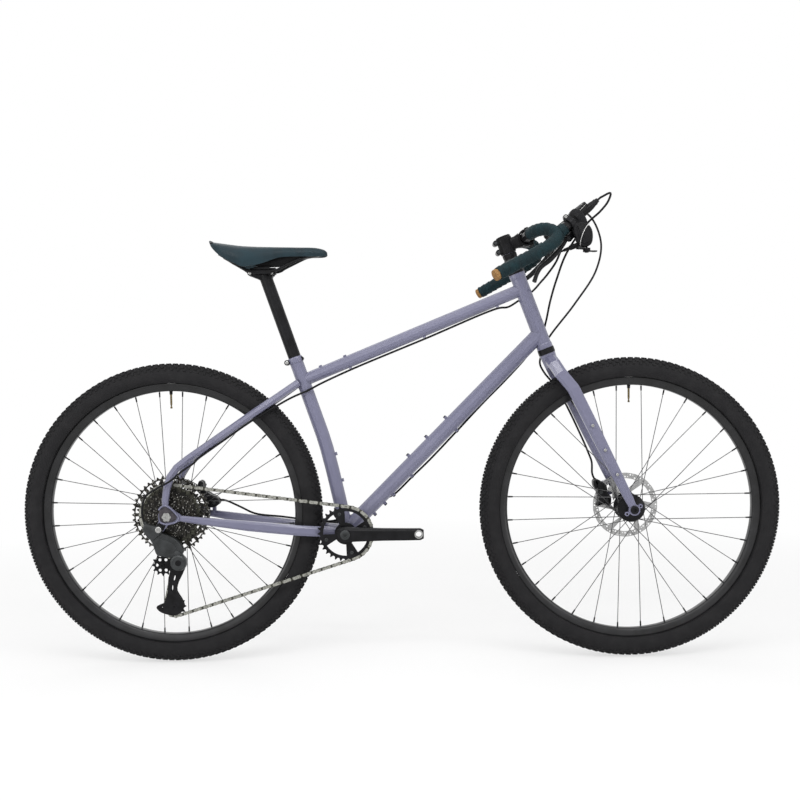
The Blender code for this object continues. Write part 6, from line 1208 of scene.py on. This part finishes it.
def build_shifter():
    """Trigger shifter: domed pod on a thick arm, with a silver-edged trigger."""
    body = Shape().lathe(sleeve(11.3, 15.2, -5.5, 5.5, 0.6, 1), STUB_FOOT.lerp(STUB_TIP, 0.88),
                         STUB_AIM, 48)
    pod = curved(4, (401, 1031), (423, 1033), (437, 1020), (441, 1003), (438, 985),
                 (427, 977.5), (413, 977.5), (406, 988), (399, 1004), (396, 1019))
    body.pebble(pod, -0.17, -0.145, 0.006)
    body.pebble(shrunk(pod, 0.0075), -0.1722, -0.16, 0.002)
    body.pebble(curved(4, (390, 1056), (402, 1064), (418, 1056), (429, 1036), (430, 1014),
                       (410, 1008), (396, 1020), (388, 1038)), -0.164, -0.143, 0.0045)
    body.rod(POD_INNER, SHIFT_PORT.lerp(POD_INNER, 0.35), 0.0062, 0.0056, 20)
    body.rod(SHIFT_PORT.lerp(POD_INNER, 0.4), SHIFT_PORT, 0.0042, 0.0036, 18)
    foot = POD - UP * 0.019
    body.rod(foot + UP * 0.002, foot - UP * 0.0095, 0.0025)
    body.rod(foot - UP * 0.0093, foot - UP * 0.0107, 0.0044, bevel=0.0005, sides=20)
    body.finish("shifter_pod", "plastic", "steering", ("shifter_body",))
    edge = places(spot, (432.3, -170, 1030), (423.5, -172.6, 1019), (416, -173, 1004),
                  (412, -172, 990), (411.5, -169, 980))
    trim = Shape().tube(spline(edge, 0.002), 0.0011, sides=8)
    trim.finish("shifter_trigger_edge", "steel", "steering")


# Rear derailleur and dropout


def build_derailleur():
    """Grey body and link, turned cage knuckle and the pulley cage."""
    body = Shape().pebble(
        curved(4, (-611, 334), (-611.5, 345), (-604, 352), (-594, 349), (-582.2, 345.5),
               (-572, 346.5), (-565.5, 337.3), (-569, 328), (-579, 319), (-590, 312),
               (-601, 318)), -0.0935, -0.0772, 0.0035)
    body.rod(HOUSING_END - HOUSING_RUN * 0.7, HOUSING_END, 0.005, 0.0042, 18)
    body.finish("derailleur_housing", "grey", "frame", ("derailleur_body",))
    sheared = (LEFT * 0.1469, (Vector((1, 0.387, 0)), UP, LEFT))
    link = Shape().pebble(
        curved(4, (-600, 323), (-593, 331), (-578, 330), (-562, 324), (-540, 312), (-529, 299),
               (-522, 283), (-530, 270), (-550, 266), (-570, 271), (-583, 277), (-590, 300)),
        -0.007, 0.007, 0.0035, *sheared)
    link.pebble(
        curved(4, (-586, 318), (-570, 314), (-548, 303), (-538, 288), (-548, 279), (-566, 282),
               (-578, 296)), -0.0084, -0.006, 0.001, *sheared)
    link.finish("derailleur_parallelogram", "grey", "derailleur_link", ("derailleur_link",))
    pivot = Vector((-0.534, 0, 0.254))
    knuckle = Shape().lathe(
        mm((0, -73.8), (12, -73.8), (15, -74.2), (18.6, -72.2), (19.6, -69), (19.6, -56),
           (18, -50), (0, -50)), pivot, LEFT, 56)
    knuckle.pebble(curved(4, (-553, 264), (-550, 280), (-540, 284), (-530, 280), (-520, 266),
                          (-530, 256)), -0.07, -0.056, 0.003)
    knuckle.finish("cage_knuckle_housing", "grey", "cage_knuckle", ("cage_knuckle",))
    outline = curved(
        2, (-562, 258.6), (-545, 270), (-529, 268), (-519.9, 252.9), (-522.5, 240),
        (-530.9, 220.6), (-538.9, 205.3), (-543.5, 193.4), (-544.5, 179.7), (-534.1, 162.4),
        (-527.7, 145.2), (-533.1, 131.6), (-543.5, 124), (-555.3, 121.5), (-570, 124.5),
        (-584.2, 129.6), (-594, 138.4), (-593.5, 145.2), (-583.7, 149.4), (-575.9, 154),
        (-571.3, 166.3), (-567, 180), (-565.5, 200), (-564, 215), (-560, 230), (-562.5, 245))
    holes = []
    for x, z, lean in ((-0.5505, 0.2122, 0.35), (-0.556, 0.1884, 0.15)):
        holes.append([(x + 0.0026 * u * cos(lean) + 0.0082 * v * sin(lean),
                       z + 0.0082 * v * cos(lean) - 0.0026 * u * sin(lean))
                      for u, v in circle((0, 0), 1, 16)])
    holes.append(mm((-588, 141.5), (-580, 143), (-579, 135)))
    cage = Shape().plate(outline, -0.0462, -0.0438, holes)
    cage.plate(shrunk(outline, 0.001), -0.0334, -0.0312, holes)
    cage.spindle(pivot, -0.05, -0.0455, 0.011, sides=32)
    for pulley in (GUIDE_PULLEY, TENSION_PULLEY):
        axle = Vector((pulley.x, 0, pulley.z))
        cage.spindle(axle, -0.0455, -0.0315, 0.0026)
        cage.bolt(axle - LEFT * 0.0455, -LEFT, 0.0058, 0.0026)
        cage.spindle(axle, -0.034, -0.0312, 0.0062, sides=20)
    arm = curved(4, (-585, 240), (-583, 249), (-574, 251), (-560, 256), (-556, 240), (-574, 237))
    cage.pebble(arm, -0.046, -0.0436, 0.0004)
    cage.pebble(arm, -0.0336, -0.0312, 0.0004)
    cage.finish("derailleur_pulley_cage", "plastic", "derailleur_cage", ("derailleur_cage",))
    caps = Shape().bolt(pivot - LEFT * 0.0738, -LEFT, 0.007, 0.0012)
    caps.finish("cage_pivot_bolt", "black", "cage_knuckle")


def build_dropout():
    """Raised hood on the right rear dropout, with a dark plate of painted shade in its recessed
    pocket.
    """
    # painted shade: a thin dark plate over the pocket, where the recess lies in shadow
    pocket = Shape().pebble(
        curved(4, (-574, 379), (-566, 388), (-556, 389), (-542, 378), (-533, 366), (-540, 356),
               (-560, 353), (-572, 358)), -0.0838, -0.0829, 0.0002)
    pocket.finish("dropout_pocket_painted_shade", "socket", "frame")
    hanger = Shape().pebble(
        curved(4, (-580, 348), (-572, 353), (-562, 350), (-560, 344), (-566, 333), (-574, 329),
               (-581, 334)), -0.0842, -0.0826, 0.0004)
    hanger.finish("hanger_plate", "black", "frame")
    hood = mm((-574.8, 383.1), (-568.2, 390.4), (-559.7, 393.5), (-547.1, 387), (-532.7, 371.9),
              (-527.6, 363.3), (-533.1, 354.9), (-544, 351), (-558.7, 348.8), (-571.3, 353.2))
    route = spline([Vector((x, -0.0845, z)) for x, z in hood], 0.002)
    Shape().tube(route, 0.0021).finish("dropout_hood", "paint", "frame")


# Camera, lights and floor

LAMPS = (
    # name, place, aim, size in metres, power in watts
    ("overhead", (0.3, -0.9, 3), (0, 0, 0.4), (3.2, 3.2), 34),
    ("camera_side", (-1.6, -3.2, 1.9), (0, 0, 0.5), (2.2, 2.2), 14),
    ("far_side", (-0.6, 3, 2.2), (0, 0, 0.5), (2.4, 2.4), 16),
    ("long_strip", (0, -1.7, 2.3), (0, 0, 0.6), (2.8, 0.3), 20),
    ("rear_strip", (-2.4, -1.5, 1), (-0.1, 0, 0.7), (0.45, 1.8), 14),
    ("front_strip", (2.3, -1.7, 1), (0.3, 0, 0.6), (0.45, 1.8), 12),
)


def placed(name, data):
    """Object for a camera, lamp or mesh, linked into the scene."""
    made = bpy.data.objects.new(name, data)
    bpy.context.scene.collection.objects.link(made)
    return made


def seen_rays(tree):
    """1 for camera, transmission and glossy rays, 0 for the rays that light the object."""
    path = add_node(tree, "LightPath")
    total = path.outputs["Is Camera Ray"]
    for kind in ("Is Transmission Ray", "Is Glossy Ray"):
        total = add_node(tree, "Math", {0: total, 1: path.outputs[kind]},
                         operation="MAXIMUM").outputs[0]
    return total


def build_camera():
    data = bpy.data.cameras.new("camera")
    data.lens = 46.94
    data.sensor_width = 36
    data.shift_x = 0.0089
    data.shift_y = 0.0458
    camera = placed("camera", data)
    yaw, pitch, roll = (radians(a) for a in (0.394, -3.095, -0.804))
    turn = Matrix.Rotation(yaw, 3, "Z") @ Matrix.Rotation(pitch, 3, "X")
    forward, right, upward = turn @ LEFT, turn @ AHEAD, turn @ UP
    side = right * cos(roll) + upward * sin(roll)
    top = upward * cos(roll) - right * sin(roll)
    camera.matrix_world = Matrix.LocRotScale(
        Vector((-0.00017, -2.5398, 0.6828)), Matrix((side, top, -forward)).transposed(), None)
    bpy.context.scene.camera = camera


def build_world():
    """White where it is seen, and a plain level of light on the object."""
    world = bpy.data.worlds.new("studio")
    bpy.context.scene.world = world
    world.use_nodes = True
    tree = world.node_tree
    level = add_node(tree, "MapRange", {"Value": seen_rays(tree), "To Min": 0.46, "To Max": 1})
    fill(tree, tree.nodes["Background"], {"Color": (1, 1, 1, 1),
                                          "Strength": level.outputs["Result"]})


def build_floor():
    """Pale floor that takes the object's shadow and glows white further out."""
    reach = 14
    bm = bmesh.new()
    for x, y in ((-reach, -reach), (reach, -reach), (reach, reach), (-reach, reach)):
        bm.verts.new((x, y, -0.0006))
    bm.faces.new(bm.verts)
    mesh = bpy.data.meshes.new("studio_floor")
    bm.to_mesh(mesh)
    bm.free()
    floor = placed("studio_floor", mesh)
    ground = bpy.data.materials.new("pale_floor")
    ground.use_nodes = True
    tree = ground.node_tree
    shader = tree.nodes["Principled BSDF"]
    fill(tree, shader, {"Base Color": (0.98, 0.98, 0.98, 1), "Roughness": 0.75})
    glow = add_node(tree, "Emission", {"Strength": 1})
    place = add_node(tree, "TexCoord").outputs["Object"]
    away = add_node(tree, "VectorMath", {0: place}, operation="LENGTH").outputs["Value"]
    fade = add_node(tree, "MapRange", {"Value": away, "From Min": 1.2, "From Max": 2.6,
                                       "To Min": 0.62}).outputs["Result"]
    white = add_node(tree, "Math", {0: fade, 1: seen_rays(tree)}, operation="MULTIPLY")
    mix = add_node(tree, "MixShader", {0: white.outputs[0], 1: shader.outputs[0],
                                       2: glow.outputs[0]})
    fill(tree, tree.nodes["Material Output"], {"Surface": mix.outputs[0]})
    mesh.materials.append(ground)


def build_lamps():
    for name, place, aim, size, power in LAMPS:
        lamp = bpy.data.lights.new(name, "AREA")
        lamp.shape = "RECTANGLE"
        lamp.size, lamp.size_y = size
        lamp.energy = power
        light = placed(name, lamp)
        light.location = place
        light.rotation_euler = (Vector(aim) - Vector(place)).to_track_quat("-Z", "Y").to_euler()


build_wheel("front", FRONT_AXLE, 0.029, (0.0195, -0.0265), FRONT_HUB)
build_wheel("rear", REAR_AXLE, 0.0245, (0.0325, -0.02), REAR_HUB)
build_rotor("front", FRONT_AXLE, 0.043)
build_rotor("rear", REAR_AXLE, 0.0552)
build_cassette()
build_chainring()
build_chain()
build_pulleys()
build_hoses()
build_tapes()
build_saddle()
build_eyelets()
build_boss_bolts()
build_seat_clamp()
build_stem()
build_axle_ends()
build_calipers()
build_brake_controls()
build_brake_levers()
build_shifter()
build_derailleur()
build_dropout()
build_camera()
build_world()
build_floor()
build_lamps()
bpy.context.scene.view_settings.view_transform = "Standard"
